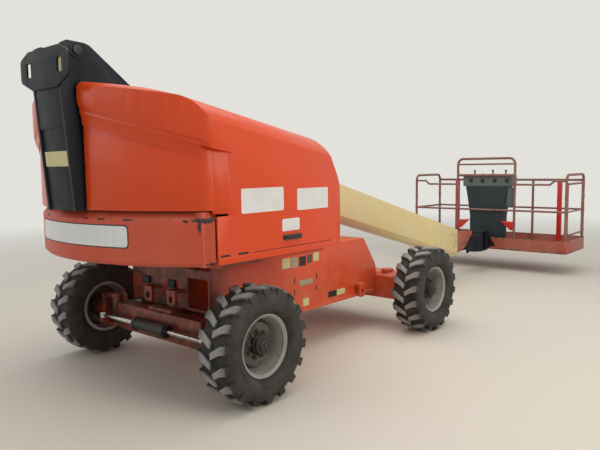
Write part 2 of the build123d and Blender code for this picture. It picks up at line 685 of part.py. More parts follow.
def hood_mass(inset, open_by):
    """The solid form of a hood; the inner one is inset and runs past its open inner side and bottom."""
    side_y = HOOD_HALF_WIDTH - inset
    inner_y = HOOD_INNER_Y - open_by
    low = HOOD_BOTTOM - open_by
    tail = HOOD_TAIL_RADIUS - inset
    front = HOOD_FRONT_X - inset
    c = FRONT_CORNER - inset
    d = c * cos(radians(45))
    edges = rounded_tail(tail, side_y, TAIL_CORNER, inner_y)
    edges.append(Line(edges[-1] @ 1, (front - c, side_y)))
    edges.append(ThreePointArc((front - c, side_y), (front - c + d, side_y - c + d), (front, side_y - c)))
    plan = extrude(Plane.XY.offset(low) * closed_by(edges, [(front, inner_y)]), amount=BIG / 3)
    nose = [
        # x, z down the front of the hood
        (-650, 1990), (-500, 1836), (-408, 1690), (-268, 1440), (-230, 1340), (-240, 1240), (-330, 1032),
    ]
    down = [(x - inset, z - inset * 0.4) for x, z in nose]
    profile_edges = [
        Line((-BIG / 2, 3000), (down[0][0], 3000)),
        Line((down[0][0], 3000), down[0]),
        ThreePointArc(down[0], down[1], down[2]),
        Line(down[2], down[3]),
        ThreePointArc(down[3], down[4], down[5]),
        Line(down[5], down[6]),
        Line(down[6], (down[6][0], 500)),
        Line((down[6][0], 500), (-BIG / 2, 500)),
        Line((-BIG / 2, 500), (-BIG / 2, 3000)),
    ]
    profile = extrude(side_plane(BIG / 2) * make_face(Curve() + profile_edges), amount=BIG)
    mass = plan & profile & roof_prism(inset, inner_y, side_y)
    return mass - brow_roll(inset) - rear_recess(inset, inner_y)


def roof_prism(drop, inner_y, side_y):
    """A bar down the roof's slope: cambered on top, round at the shoulder, upright at the side."""
    deep = 1900
    top, edge, low = -drop, -HOOD_CAMBER - drop, -HOOD_SHOULDER - drop
    turn_y = HOOD_SHOULDER_Y
    mid_y = (HOOD_INNER_Y + turn_y) / 2
    edges = [
        Line((inner_y, top), (HOOD_INNER_Y + 1, top)),
        ThreePointArc((HOOD_INNER_Y + 1, top), (mid_y, top - HOOD_CAMBER * 0.33), (turn_y, edge)),
        ThreePointArc((turn_y, edge), ((turn_y + side_y) / 2 + 22, (edge + low) / 2 + 24), (side_y, low)),
        Line((side_y, low), (side_y, -deep)),
        Line((side_y, -deep), (inner_y, -deep)),
        Line((inner_y, -deep), (inner_y, top)),
    ]
    if inner_y >= HOOD_INNER_Y:
        edges = edges[1:-1] + [Line((inner_y, -deep), (HOOD_INNER_Y + 1, top))]
    start = Plane(origin=(-1400, 0, 0), x_dir=(0, 1, 0), z_dir=(1, 0, 0))
    bar = extrude(start * make_face(Curve() + edges), amount=3800)
    return on_roof(HOOD_ROOF_X, 0) * bar


def hood(side):
    outer = hood_mass(0, 0)
    inner = hood_mass(HOOD_WALL, 60)
    shell = outer - inner
    rear_cut = block((-BIG / 2, HOOD_SPLIT_X), (0, BIG / 4), (0, HOOD_REAR_BOTTOM))
    shell -= rear_cut
    shell += hood_lip()
    for x in HINGE_PLACES:
        shell += on_roof(x, HINGE_RISE) * hinge_knuckle()
    for x in HINGE_PLACES:
        shell -= on_roof(x, HINGE_RISE) * rod((-90, HINGE_Y, 0), (90, HINGE_Y, 0), HINGE_PIN_RADIUS + SEAT_GAP)
        shell -= on_roof(x, HINGE_RISE) * hinge_slots()
    return shell if side > 0 else mirrored_y(shell)


def hinge_knuckle():
    half = HINGE_LENGTH / 2 - 3
    leaf = block((-half, half), (HINGE_Y, HINGE_Y + 60), (-HINGE_RISE - 14, -HINGE_RISE + 4))
    web = block((-half, half), (HINGE_Y - HINGE_RADIUS, HINGE_Y + HINGE_RADIUS), (-HINGE_RISE - 4, 0))
    return rod((-half, HINGE_Y, 0), (half, HINGE_Y, 0), HINGE_RADIUS) + web + leaf


def hinge_slots():
    """Room in the roof's inner edge for the ears of the side plate."""
    half = HINGE_LENGTH / 2
    cuts = None
    for x0 in (-half - 24, half - 3):
        cut = block((x0, x0 + 27), (HOOD_INNER_Y - 30, HINGE_Y + 16), (-60, 40))
        cuts = cut if cuts is None else cuts + cut
    return cuts


def tail_plane(drop, fall):
    """A plane over the tail's centre: it falls forward with the roof, and outward by its own slope."""
    slope = tan(radians(HOOD_ROOF_SLOPE))
    z = HOOD_ROOF_Z - (TAIL_CENTRE_X - HOOD_ROOF_X) * slope - drop
    return Plane(origin=(TAIL_CENTRE_X, 0, z), z_dir=(slope, fall, 1))


def brow_roll(inset):
    """What the roll along the roof's rear edge takes off."""
    radius = (HOOD_TAIL_RADIUS - inset) * 1.0165
    roll = ROLL_RADIUS
    c = roll * cos(radians(45))
    edges = [
        ThreePointArc((radius, 0), (radius - roll + c, c), (radius - roll, roll)),
        Line((radius - roll, roll), (radius - 200, roll + 26)),
        Line((radius - 200, roll + 26), (radius - 200, 400)),
        Line((radius - 200, 400), (radius + 400, 400)),
        Line((radius + 400, 400), (radius + 400, 0)),
        Line((radius + 400, 0), (radius, 0)),
    ]
    ring = revolve(Plane.XZ * make_face(Curve() + edges), axis=Axis.Z)
    return tail_plane(ROLL_DROP + inset, ROLL_FALL) * ring


def rear_recess(inset, inner_y):
    """What is cut away under the brow: round a drum-shaped tail panel, and along a ramp to the side."""
    side_y = HOOD_HALF_WIDTH - RECESS_SIDE - inset
    past = 10
    slope = RECESS_SIDE / (RAMP_END_X - RAMP_START_X)
    inside = inner_y - 100
    edges = rounded_tail(HOOD_RECESS_RADIUS - inset, side_y, RECESS_CORNER, inside)
    drum = closed_by(edges, [
        (RAMP_START_X, side_y), (RAMP_END_X + past, side_y + RECESS_SIDE + past * slope), (RAMP_END_X + past, inside),
    ])
    drum = extrude(Plane.XY.offset(500) * drum, amount=2500)
    stretch = 1.02
    wide, narrow = (HOOD_TAIL_RADIUS - inset) * stretch, (HOOD_RECESS_RADIUS - inset) * stretch - 6
    under = revolve(Plane.XZ * make_face(Polyline(
        (0, 1), (wide, 1), (wide, 0), (narrow, -BROW_UNDERSIDE), (0, -BROW_UNDERSIDE), close=True)), axis=Axis.Z)
    below = Pos(0, 0, -500) * Box(5000, 5000, 1000)
    bounds = block((-BIG / 2, RAMP_END_X), (inner_y - 60, HOOD_HALF_WIDTH + 400), (RAMP_BOTTOM + inset, 3000))
    plane = tail_plane(BROW_DROP + inset, BROW_FALL)
    return ((plane * below) & bounds) - drum - plane * under


def hood_lip():
    """The band along the hood's lower edge, a little proud of its side."""
    y0 = HOOD_HALF_WIDTH - HOOD_WALL
    y1 = HOOD_HALF_WIDTH + LIP_PROUD
    return block((HOOD_SPLIT_X, -380), (y0, y1), (HOOD_BOTTOM, HOOD_BOTTOM + LIP_HEIGHT))


def latch(side):
    """The black pull handle on the side of a hood."""
    y0 = HOOD_HALF_WIDTH + SEAT_GAP
    handle = flat_plate([
        (LATCH_X - 100, y0), (LATCH_X - 80, y0 + 20), (LATCH_X + 60, y0 + 26), (LATCH_X + 100, y0 + 12),
        (LATCH_X + 100, y0),
    ], LATCH_Z - 17, LATCH_Z + 17)
    return handle if side > 0 else mirrored_y(handle)


# Boom, in its own frame: s along it from the pivot, n square to it
def box_tube(s0, s1, n0, n1, half, wall, chamfer):
    outline = [
        (-half + chamfer, n0), (half - chamfer, n0), (half, n0 + chamfer), (half, n1), (-half, n1),
        (-half, n0 + chamfer),
    ]
    c = max(chamfer - wall * 0.6, 1)
    inner = [
        (-half + wall + c, n0 + wall), (half - wall - c, n0 + wall), (half - wall, n0 + wall + c),
        (half - wall, n1 - wall), (-half + wall, n1 - wall), (-half + wall, n0 + wall + c),
    ]
    return cross_plate(outline, s0, s1) - cross_plate(inner, s0 - 10, s1 + 10)


def base_boom():
    half = BOOM_WIDTH / 2
    top = -BOOM_TOP_DROP
    tube = box_tube(BOOM_REAR_S, 6300, BOOM_BOTTOM_N, top, half, BOOM_WALL, BOOM_CHAMFER)
    sleeve = box_tube(SLEEVE_START_S, 6300, BOOM_BOTTOM_N - SLEEVE_PROUD, top + SLEEVE_PROUD,
                      half + SLEEVE_PROUD, BOOM_WALL + SLEEVE_PROUD - 1, BOOM_CHAMFER)
    solid = tube + sleeve
    ear = [
        # s, n round the ear that carries the pivot
        (-PIVOT_BOSS_RADIUS, 0), (-PIVOT_BOSS_RADIUS, -40), (70, -330), (BOOM_REAR_S, -420), (430, -280),
        (430, top - 6), (60, 22), (30, 42),
    ]
    for side in (-1, 1):
        y0, y1 = side * (half - EAR_THICKNESS), side * half
        solid += side_plate(ear, y0, y1) + rod((0, y0, 0), (0, y1, 0), PIVOT_BOSS_RADIUS)
        y0, y1 = side * (LIFT_EYE_WIDTH / 2 + 7), side * (LIFT_EYE_WIDTH / 2 + 7 + BRACKET_PLATE)
        bracket = [
            (LIFT_EYE_S - 130, BOOM_BOTTOM_N + 4), (LIFT_EYE_S - 50, LIFT_EYE_N - 10),
            (LIFT_EYE_S - 30, LIFT_EYE_N - 42), (LIFT_EYE_S + 30, LIFT_EYE_N - 42),
            (LIFT_EYE_S + 50, LIFT_EYE_N - 10), (LIFT_EYE_S + 130, BOOM_BOTTOM_N + 4),
        ]
        solid += side_plate(bracket, y0, y1)
        head = rod((LIFT_EYE_S, y1, LIFT_EYE_N), (LIFT_EYE_S, y1 + side * 12, LIFT_EYE_N), LIFT_PIN_RADIUS + 8)
        solid += head
    solid -= rod((0, -BIG / 4, 0), (0, BIG / 4, 0), PIVOT_PIN_RADIUS)
    solid = on_boom(solid)
    solid -= block((BASE_FRONT_X, BIG), (-BIG / 4, BIG / 4), (-BIG / 4, BIG / 4))
    for n0, n1, y in FLY_PADS:
        solid += on_boom(cross_plate([(y[0], n0), (y[1], n0), (y[1], n1), (y[0], n1)], 5660, 5840))
    return solid


def boom_pivot_pin():
    reach = PLATE_OUTER_Y + 22
    return rod((PIVOT_X, -reach, PIVOT_Z), (PIVOT_X, reach, PIVOT_Z), PIVOT_PIN_RADIUS)


def fly_boom():
    tube = box_tube(FLY_REAR_S, FLY_FRONT_S, FLY_BOTTOM_N, FLY_TOP_N, FLY_WIDTH / 2, FLY_WALL, 30)
    return on_boom(tube)


def fly_nose():
    """The bracket at the fly's end: a base plate and two cheeks that carry the levelling pivot."""
    s0 = FLY_FRONT_S + SEAT_GAP
    half = NOSE_HALF_WIDTH
    cheek = [
        # s, n
        (s0, -180), (NOSE_PIVOT_S + 92, -99), (NOSE_PIVOT_S + 96, -150), (NOSE_PIVOT_S + 30, -214),
        (6355, -366), (6211, -454), (s0, -500),
    ]
    solid = cross_plate([(-half, -500), (half, -500), (half, -180), (-half, -180)], s0, s0 + 14)
    for side in (-1, 1):
        solid += side_plate(cheek, side * (half - NOSE_PLATE), side * half)
    reach = half + 14
    solid += rod((NOSE_PIVOT_S, -reach, NOSE_PIVOT_N), (NOSE_PIVOT_S, reach, NOSE_PIVOT_N), NOSE_PIN_RADIUS)
    return on_boom(solid)


# Lift cylinder, drawn along its own line from the mast's pin to the boom's bracket
def lift_line():
    x, z = boom_point(LIFT_EYE_S, LIFT_EYE_N)
    length = hypot(x - LIFT_BASE_X, z - LIFT_BASE_Z)
    slope = degrees(atan2(LIFT_BASE_Z - z, x - LIFT_BASE_X))
    return length, slope


def on_lift(shape):
    return Pos(LIFT_BASE_X, 0, LIFT_BASE_Z) * Rot(0, lift_line()[1], 0) * shape


def lift_barrel():
    length = lift_line()[0]
    end = length - 170
    half = LIFT_EYE_WIDTH / 2
    solid = rod((96, 0, 0), (end, 0, 0), LIFT_BARREL_RADIUS)
    solid += rod((end - 60, 0, 0), (end, 0, 0), LIFT_BARREL_RADIUS + 8)
    solid += block((0, 110), (-half, half), (-LIFT_EYE_RADIUS, LIFT_EYE_RADIUS))
    solid += rod((0, -half, 0), (0, half, 0), LIFT_EYE_RADIUS)
    solid -= rod((124, 0, 0), (length, 0, 0), LIFT_ROD_RADIUS + SEAT_GAP)
    reach = PLATE_OUTER_Y + 14
    solid += rod((0, -reach, 0), (0, reach, 0), LIFT_PIN_RADIUS)
    return on_lift(solid)


def lift_rod():
    length = lift_line()[0]
    half = LIFT_EYE_WIDTH / 2
    solid = rod((150, 0, 0), (length - 30, 0, 0), LIFT_ROD_RADIUS)
    solid += rod((length, -half, 0), (length, half, 0), LIFT_EYE_RADIUS)
    return on_lift(solid)


# Platform and what carries it
def platform_support():
    """The levelled bracket between the fly nose and the platform, with the rotator's housing."""
    px, pz = boom_point(NOSE_PIVOT_S, NOSE_PIVOT_N)
    low = ROTATOR_BOTTOM + MOUNT_PLATE
    high = low + ROTATOR_HEIGHT
    cheek = [
        (px - 50, pz - 10), (px - 46, pz + 30), (px - 10, pz + 50), (px + 40, pz + 46), (ROTATOR_X - 145, high - 18),
        (ROTATOR_X - 60, high - 18), (ROTATOR_X - 60, low + 10), (px + 110, low + 10), (px + 20, pz - 290), (px + 10, pz - 240),
    ]
    solid = rod((ROTATOR_X, 0, low + SEAT_GAP), (ROTATOR_X, 0, high - SEAT_GAP), ROTATOR_RADIUS)
    for side in (-1, 1):
        solid += side_plate(cheek, side * 62, side * 84)
    solid += rod((px, -84, pz), (px, 84, pz), NOSE_PIN_RADIUS + 22)
    solid += block((px + 150, ROTATOR_X - 60), (-84, 84), (low + 40, low + 62))
    solid -= rod((px, -120, pz), (px, 120, pz), NOSE_PIN_RADIUS + SEAT_GAP)
    return solid


def platform_mount():
    """The turning clevis round the rotator, with a post and two arms under the platform."""
    low = ROTATOR_BOTTOM
    top = low + MOUNT_PLATE + ROTATOR_HEIGHT
    solid = block((MOUNT_POST_X, MOUNT_POST_X + 60), (-ROTATOR_RADIUS, ROTATOR_RADIUS), (low, top + MOUNT_PLATE))
    for z0 in (low, top):
        solid += rod((ROTATOR_X, 0, z0), (ROTATOR_X, 0, z0 + MOUNT_PLATE), ROTATOR_RADIUS)
        solid += block((ROTATOR_X, MOUNT_POST_X + 10), (-ROTATOR_RADIUS, ROTATOR_RADIUS), (z0, z0 + MOUNT_PLATE))
    face = PLATFORM_X - SEAT_GAP
    solid += block((MOUNT_POST_X + 40, face), (-ROTATOR_RADIUS, ROTATOR_RADIUS), (low + 30, FLOOR_Z - 2))
    solid += cross_plate([(-90, FLOOR_Z - 10), (90, FLOOR_Z - 10), (60, top + 20), (-60, top + 20)],
                         MOUNT_POST_X + 40, face)
    return solid


def platform_floor():
    """The tray: a floor with toe boards round it, open at the middle of the boom side."""
    half = PLATFORM_WIDTH / 2
    x0, x1 = PLATFORM_X, PLATFORM_X + PLATFORM_DEPTH
    top = FLOOR_Z + TOE_HEIGHT
    tray = block((x0, x1), (-half, half), (PLATFORM_BOTTOM, top))
    tray = fillet(tray.edges().filter_by(Axis.Z), TOE_CORNER)
    well = block((x0 + TOE_WALL, x1 - TOE_WALL), (-half + TOE_WALL, half - TOE_WALL), (FLOOR_Z, top + 20))
    well = fillet(well.edges().filter_by(Axis.Z), TOE_CORNER - TOE_WALL)
    gap = cross_plate([(-190, FLOOR_Z), (-100, top + 5), (100, top + 5), (190, FLOOR_Z)], x0 - 20, x0 + 60)
    return tray - well - gap


def platform_end_rail(side):
    """A bent hoop with a mid rail, at one end; the right-hand one has the gate instead of its rail."""
    y = side * RAIL_END_Y
    solid = bent_tube([(RAIL_NEAR_X, y, FLOOR_Z), (RAIL_NEAR_X, y, RAIL_TOP_Z), (RAIL_FAR_X, y, RAIL_TOP_Z),
                       (RAIL_FAR_X, y, FLOOR_Z)], RAIL_RADIUS, RAIL_BEND)
    if side > 0:
        solid += rod((RAIL_NEAR_X, y, MID_RAIL_Z), (RAIL_FAR_X, y, MID_RAIL_Z), RAIL_RADIUS * 0.8)
    else:
        for z0 in (GATE_LOW - 14, GATE_HIGH):
            solid += block((GATE_HINGE_X - GATE_RADIUS, RAIL_FAR_X), (y - 12, y + 12), (z0, z0 + 14 - SEAT_GAP))
    return solid


def platform_boom_rail():
    """Rails of the boom side: top rail with its dips, mid rail, and the guard over the controls."""
    x = RAIL_NEAR_X
    reach = RAIL_END_Y
    rail_end = reach - RAIL_BEND
    dip = RAIL_TOP_Z - DIP_DEPTH
    clear = RAIL_RADIUS + SEAT_GAP
    solid = rod((x, -reach + clear, MID_RAIL_Z), (x, reach - clear, MID_RAIL_Z), RAIL_RADIUS * 0.8)
    for side in (-1, 1):
        solid += bent_tube([(x, side * (reach - clear), RAIL_TOP_Z - RAIL_BEND), (x, side * DIP_Y, RAIL_TOP_Z - RAIL_BEND),
                            (x, side * (DIP_Y - 60), dip - 60), (x, side * GUARD_Y, dip - 60)], RAIL_RADIUS * 0.8, 20)
    guard_top = FLOOR_Z + GUARD_HEIGHT
    solid += bent_tube([(x, -GUARD_Y, FLOOR_Z), (x, -GUARD_Y, guard_top), (x, GUARD_Y, guard_top),
                        (x, GUARD_Y, FLOOR_Z)], RAIL_RADIUS, RAIL_BEND)
    solid += rod((x, -GUARD_Y, guard_top - 88), (x, GUARD_Y, guard_top - 88), RAIL_RADIUS * 0.7)
    solid += rod((x, -GUARD_Y, RAIL_TOP_Z), (x, GUARD_Y, RAIL_TOP_Z), RAIL_RADIUS)
    return solid


def platform_outer_rail():
    x = RAIL_FAR_X
    reach = RAIL_END_Y - RAIL_RADIUS - SEAT_GAP
    top = OUTER_TOP_Z
    solid = rod((x, -reach, top), (x, reach, top), RAIL_RADIUS)
    solid += rod((x, -reach, MID_RAIL_Z), (x, reach, MID_RAIL_Z), RAIL_RADIUS * 0.8)
    for y in (-OUTER_POST_Y, OUTER_POST_Y):
        solid += rod((x, y, FLOOR_Z), (x, y, top), RAIL_RADIUS)
    for y in (-RED_POST_Y, RED_POST_Y):
        solid += block((x - 20, x + 20), (y - 34, y + 34), (FLOOR_Z, top))
    return solid


def gate():
    y = -RAIL_END_Y
    r = GATE_RADIUS
    solid = rod((GATE_HINGE_X, y, GATE_LOW), (GATE_HINGE_X, y, GATE_HIGH - SEAT_GAP), r)
    loop = bent_tube([(GATE_HINGE_X, y, GATE_LOW + 40), (GATE_X0, y, GATE_LOW + 40), (GATE_X0, y, GATE_HIGH - 40),
                      (GATE_HINGE_X, y, GATE_HIGH - 40)], r, 60)
    solid += loop
    mid = MID_RAIL_Z
    solid += rod((GATE_HINGE_X, y, mid), (GATE_X0, y, mid), r * 0.8)
    return solid


def control_console():
    """The control box on the boom side, with the tapered housing that hangs under it."""
    return fillet(block((RAIL_NEAR_X + 25, RAIL_NEAR_X + 290), (-390, 390), (1311, 1488)).edges(), 16)


def console_housing():
    return cross_plate([
        (-260, FLOOR_Z), (260, FLOOR_Z), (268, 850), (310, 1130), (345, 1311), (-345, 1311), (-310, 1130), (-268, 850),
    ], RAIL_NEAR_X + 25, RAIL_NEAR_X + 225)


# What is exported: node name and the function that makes it
def all_parts():
    parts = {
        "chassis_frame": chassis_frame(),
        "steer_axle": steer_axle(),
        "drive_axle": drive_axle(),
        "steering_cylinder_barrel": steering_barrel(),
        "steering_rod": steering_rod(),
        "knuckle_left": knuckle(1),
        "knuckle_right": knuckle(-1),
        "slewing_ring": slewing_ring(),
        "turntable_deck": turntable_deck(),
        "counterweight": counterweight(),
        "mast_plate_left": side_plate_of_mast(1),
        "mast_plate_right": side_plate_of_mast(-1),
        "mast_rear_panel": rear_panel(),
        "engine": engine_block(),
        "tank": tank_block(),
        "hood_left": hood(1),
        "hood_right": hood(-1),
        "hood_latch_left": latch(1),
        "hood_latch_right": latch(-1),
        "base_boom": base_boom(),
        "boom_pivot_pin": boom_pivot_pin(),
        "fly_boom": fly_boom(),
        "fly_nose": fly_nose(),
        "lift_cylinder_barrel": lift_barrel(),
        "lift_cylinder_rod": lift_rod(),
        "platform_support": platform_support(),
        "platform_mount": platform_mount(),
        "platform_floor": platform_floor(),
        "platform_rail_left": platform_end_rail(1),
        "platform_rail_right": platform_end_rail(-1),
        "platform_rail_boom_side": platform_boom_rail(),
        "platform_rail_outer": platform_outer_rail(),
        "platform_gate": gate(),
        "control_console": control_console(),
        "console_housing": console_housing(),
    }
    wheel = {"tyre": tyre(), "rim": rim(), "hub": hub()}
    corners = {
        "steer_left": (STEER_X, 1), "steer_right": (STEER_X, -1),
        "drive_left": (DRIVE_X, 1), "drive_right": (DRIVE_X, -1),
    }
    for corner, (x, side) in corners.items():
        for piece, shape in wheel.items():
            parts[f"{piece}_{corner}"] = at_wheel(shape, x, side)
    return parts


def export(parts):
    os.makedirs("parts", exist_ok=True)
    for node, shape in parts.items():
        export_step(Pos(-ORIGIN_X, 0, 0) * shape, f"parts/{node}.step")


if __name__ == "__main__":
    export(all_parts())
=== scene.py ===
import bpy
import bmesh
import json
from math import cos, pi, radians, sin, sqrt
from mathutils import Matrix, Vector

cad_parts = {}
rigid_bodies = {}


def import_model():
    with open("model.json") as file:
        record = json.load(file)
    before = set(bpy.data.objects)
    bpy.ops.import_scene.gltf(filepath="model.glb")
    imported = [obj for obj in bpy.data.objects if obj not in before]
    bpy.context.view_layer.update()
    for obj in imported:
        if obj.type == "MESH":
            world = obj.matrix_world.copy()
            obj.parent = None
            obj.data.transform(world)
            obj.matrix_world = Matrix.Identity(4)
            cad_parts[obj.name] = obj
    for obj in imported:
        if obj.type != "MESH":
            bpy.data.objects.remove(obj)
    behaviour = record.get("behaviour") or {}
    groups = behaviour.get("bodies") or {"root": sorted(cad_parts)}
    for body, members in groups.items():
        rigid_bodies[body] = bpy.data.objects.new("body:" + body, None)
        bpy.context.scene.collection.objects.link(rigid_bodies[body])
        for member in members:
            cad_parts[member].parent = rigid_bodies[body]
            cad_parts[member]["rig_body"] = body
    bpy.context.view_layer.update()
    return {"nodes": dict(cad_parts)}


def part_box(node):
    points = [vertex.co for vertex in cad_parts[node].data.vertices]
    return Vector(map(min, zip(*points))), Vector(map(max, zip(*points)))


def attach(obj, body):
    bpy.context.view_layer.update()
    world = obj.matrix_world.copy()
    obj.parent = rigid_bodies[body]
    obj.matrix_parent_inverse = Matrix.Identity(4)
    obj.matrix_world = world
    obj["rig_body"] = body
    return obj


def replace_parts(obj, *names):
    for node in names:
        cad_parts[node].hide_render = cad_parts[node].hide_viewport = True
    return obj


# Telescopic boom lift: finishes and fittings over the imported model.
# Metres, X towards the platform, Y left, Z up.

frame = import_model()
nodes = frame["nodes"]
wheelbaseMid = -1.8325  # X of the middle of the wheelbase in the model's frame
wheelbase = 2.440
sides = ((1, "left"), (-1, "right"))
mergeWithin = 0.00001
print("frame loaded:", len(nodes), "nodes")


# Small tools
def linearColour(hexValue):
    channels = [int(hexValue[i:i + 2], 16) / 255 for i in (0, 2, 4)]
    return [c / 12.92 if c <= 0.04045 else ((c + 0.055) / 1.055) ** 2.4 for c in channels] + [1.0]


def connect(tree, node, values):
    for socket, value in (values.items() if isinstance(values, dict) else enumerate(values)):
        if isinstance(value, bpy.types.NodeSocket):
            tree.links.new(value, node.inputs[socket])
        else:
            node.inputs[socket].default_value = value


# The values are a dictionary by socket, or a tuple in the sockets' order
def addNode(tree, kind, settings=None, values=(), output=0):
    node = tree.nodes.new("ShaderNode" + kind)
    for name, value in (settings or {}).items():
        setattr(node, name, value)
    connect(tree, node, values)
    return node.outputs[output]


def startMaterial(name):
    material = bpy.data.materials.new(name)
    material.use_nodes = True
    tree = material.node_tree
    return material, tree, tree.nodes["Principled BSDF"], addNode(tree, "TexCoord", output="Object")


# Each layer: what it follows, its range, the range in which the grain breaks it up, strength, colour.
# Sockets 6 and 7 of a Mix node are its two colours, and output 2 the mixed one.
def layeredColour(tree, base, grain, layers):
    tone = linearColour(base)
    for follows, span, broken, strength, colour in layers:
        mask = addNode(tree, "MapRange", {"clamp": True}, (follows, *span))
        if broken:
            gaps = addNode(tree, "MapRange", {"clamp": True}, (grain, *broken))
            mask = addNode(tree, "Math", {"operation": "MULTIPLY"}, (mask, gaps))
        mask = addNode(tree, "Math", {"operation": "MULTIPLY"}, (mask, strength))
        tone = addNode(tree, "Mix", {"data_type": "RGBA"}, {0: mask, 6: tone, 7: linearColour(colour)}, 2)
    return tone


def asMesh(bm, name):
    mesh = bpy.data.meshes.new(name)
    bm.to_mesh(mesh)
    bm.free()
    return mesh


def addObject(name, data):
    holder = bpy.data.objects.new(name, data)
    bpy.context.scene.collection.objects.link(holder)
    return holder


def bevel(bm, parts, width, segments=2, affect="EDGES"):
    bmesh.ops.bevel(bm, geom=parts, offset=width, offset_type="OFFSET", affect=affect, segments=segments,
                    profile=0.5, material=-1, clamp_overlap=True)


def sharpEdges(edges, angle):
    return [e for e in edges if len(e.link_faces) == 2 and e.calc_face_angle(0) > radians(angle)]


def edgesOf(made):
    return {e for v in made["verts"] for e in v.link_edges}


def extrude(bm, faces):
    grown = bmesh.ops.extrude_face_region(bm, geom=faces)
    return [part for part in grown["geom"] if isinstance(part, bmesh.types.BMVert)]


def spinProfile(bm, points, steps, closed=True):
    verts = [bm.verts.new((0, y, r)) for y, r in points]
    edges = [bm.edges.new((a, b)) for a, b in zip(verts, verts[1:] + (verts[:1] if closed else []))]
    bmesh.ops.spin(bm, geom=verts + edges, cent=(0, 0, 0), axis=(0, 1, 0), angle=2 * pi, steps=steps,
                   use_merge=True)


def makePiece(bm, name, body, material, angle=32):
    bmesh.ops.remove_doubles(bm, verts=bm.verts, dist=mergeWithin)
    bmesh.ops.recalc_face_normals(bm, faces=bm.faces)
    for face in bm.faces:
        face.smooth = True
    for edge in bm.edges:
        edge.smooth = len(edge.link_faces) == 2 and edge.calc_face_angle(0) < radians(angle)
    piece = addObject(name, asMesh(bm, name))
    piece.data.materials.append(material)
    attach(piece, body)
    return piece


def repaint(names, material):
    for name in names:
        nodes[name].data.materials.clear()
        nodes[name].data.materials.append(material)


def clip(bm, place, away):
    cut = bmesh.ops.bisect_plane(bm, geom=bm.verts[:] + bm.edges[:] + bm.faces[:], dist=mergeWithin,
                                 plane_co=place, plane_no=away, clear_outer=True)
    opened = [e for e in cut["geom_cut"] if isinstance(e, bmesh.types.BMEdge)]
    bmesh.ops.triangle_fill(bm, use_beauty=True, use_dissolve=False, edges=opened)


cadEdges = {"merge": 0.00004, "shortest": 0.00002, "flat": radians(0.6), "near": 0.002, "tallest": 0.3}


# A CAD piece with its sharp edges rounded; creases are upright edges that get a wider round
def softened(node, width, material, segments=2, angle=40, smooth=30, creases=(), trim=None):
    source = nodes[node]
    bm = bmesh.new()
    bm.from_mesh(source.data)
    bmesh.ops.remove_doubles(bm, verts=bm.verts, dist=cadEdges["merge"])
    bmesh.ops.dissolve_degenerate(bm, dist=cadEdges["shortest"], edges=bm.edges)
    bmesh.ops.dissolve_limit(bm, angle_limit=cadEdges["flat"], verts=bm.verts, edges=bm.edges)
    if trim:
        clip(bm, *trim)
    bevel(bm, sharpEdges(bm.edges, angle), width, segments)
    near = cadEdges["near"]
    for x, y, wide in creases:
        upright = [e for e in bm.edges if len(e.link_faces) == 2 and e.calc_length() > cadEdges["tallest"]
                   and all(abs(v.co.x - x) < near and abs(abs(v.co.y) - y) < near for v in e.verts)]
        bevel(bm, upright, wide, 4)
    piece = makePiece(bm, node + "_finished", source["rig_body"], material, smooth)
    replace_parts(piece, node)
    return piece


# Camera, floor and light
camera = {"place": (-5.9506, -3.908, 1.644), "yaw": 0.7131, "pitch": -0.09546, "roll": -0.01342,
          "focalPixels": 596.6, "centrePixel": 296.33, "imagePixels": 600, "sensor": 36}


def aimCamera():
    yaw, pitch, roll = camera["yaw"], camera["pitch"], camera["roll"]
    forward = Vector((cos(pitch) * cos(yaw), cos(pitch) * sin(yaw), sin(pitch)))
    right = forward.cross(Vector((0, 0, 1))).normalized()
    up = right.cross(forward)
    right, up = right * cos(roll) + up * sin(roll), up * cos(roll) - right * sin(roll)
    lens = bpy.data.cameras.new("photoCamera")
    lens.sensor_width = camera["sensor"]
    lens.lens = camera["focalPixels"] / camera["imagePixels"] * camera["sensor"]
    lens.shift_x = 0.5 - camera["centrePixel"] / camera["imagePixels"]
    lens.clip_end = 200
    holder = addObject("photoCamera", lens)
    turn = Matrix((right, up, -forward)).transposed()
    holder.matrix_world = Matrix.Translation(camera["place"]) @ turn.to_4x4()
    bpy.context.scene.camera = holder


def seenDirectly(tree):
    path = addNode(tree, "LightPath").node.outputs
    seen = path["Is Camera Ray"]
    for kind in ("Is Glossy Ray", "Is Transmission Ray"):
        seen = addNode(tree, "Math", {"operation": "MAXIMUM"}, (seen, path[kind]))
    return seen


studio = {
    "floor": "d8cfbf", "floorRoughness": 0.9, "floorHalf": 60, "backdrop": "e3e1dc", "skyLight": "b6bbc1",
    "fadeMetres": (5.0, 14.0),  # from the middle, the floor turns into the backdrop
    "lamps": [
        # name, place, aims at, size, watts, colour
        ("softOverhead", (-1.5, -0.5, 8.5), (-1.0, 0, 0.5), 9, 400, "ffffff"),
        ("softSide", (-1.5, -9.0, 5.0), (-1.0, 0, 1.0), 6, 280, "fff6ea"),
        ("softRear", (-10.5, 3.5, 4.5), (-2.5, 0, 1.2), 5, 70, "f4f8ff"),
    ],
}


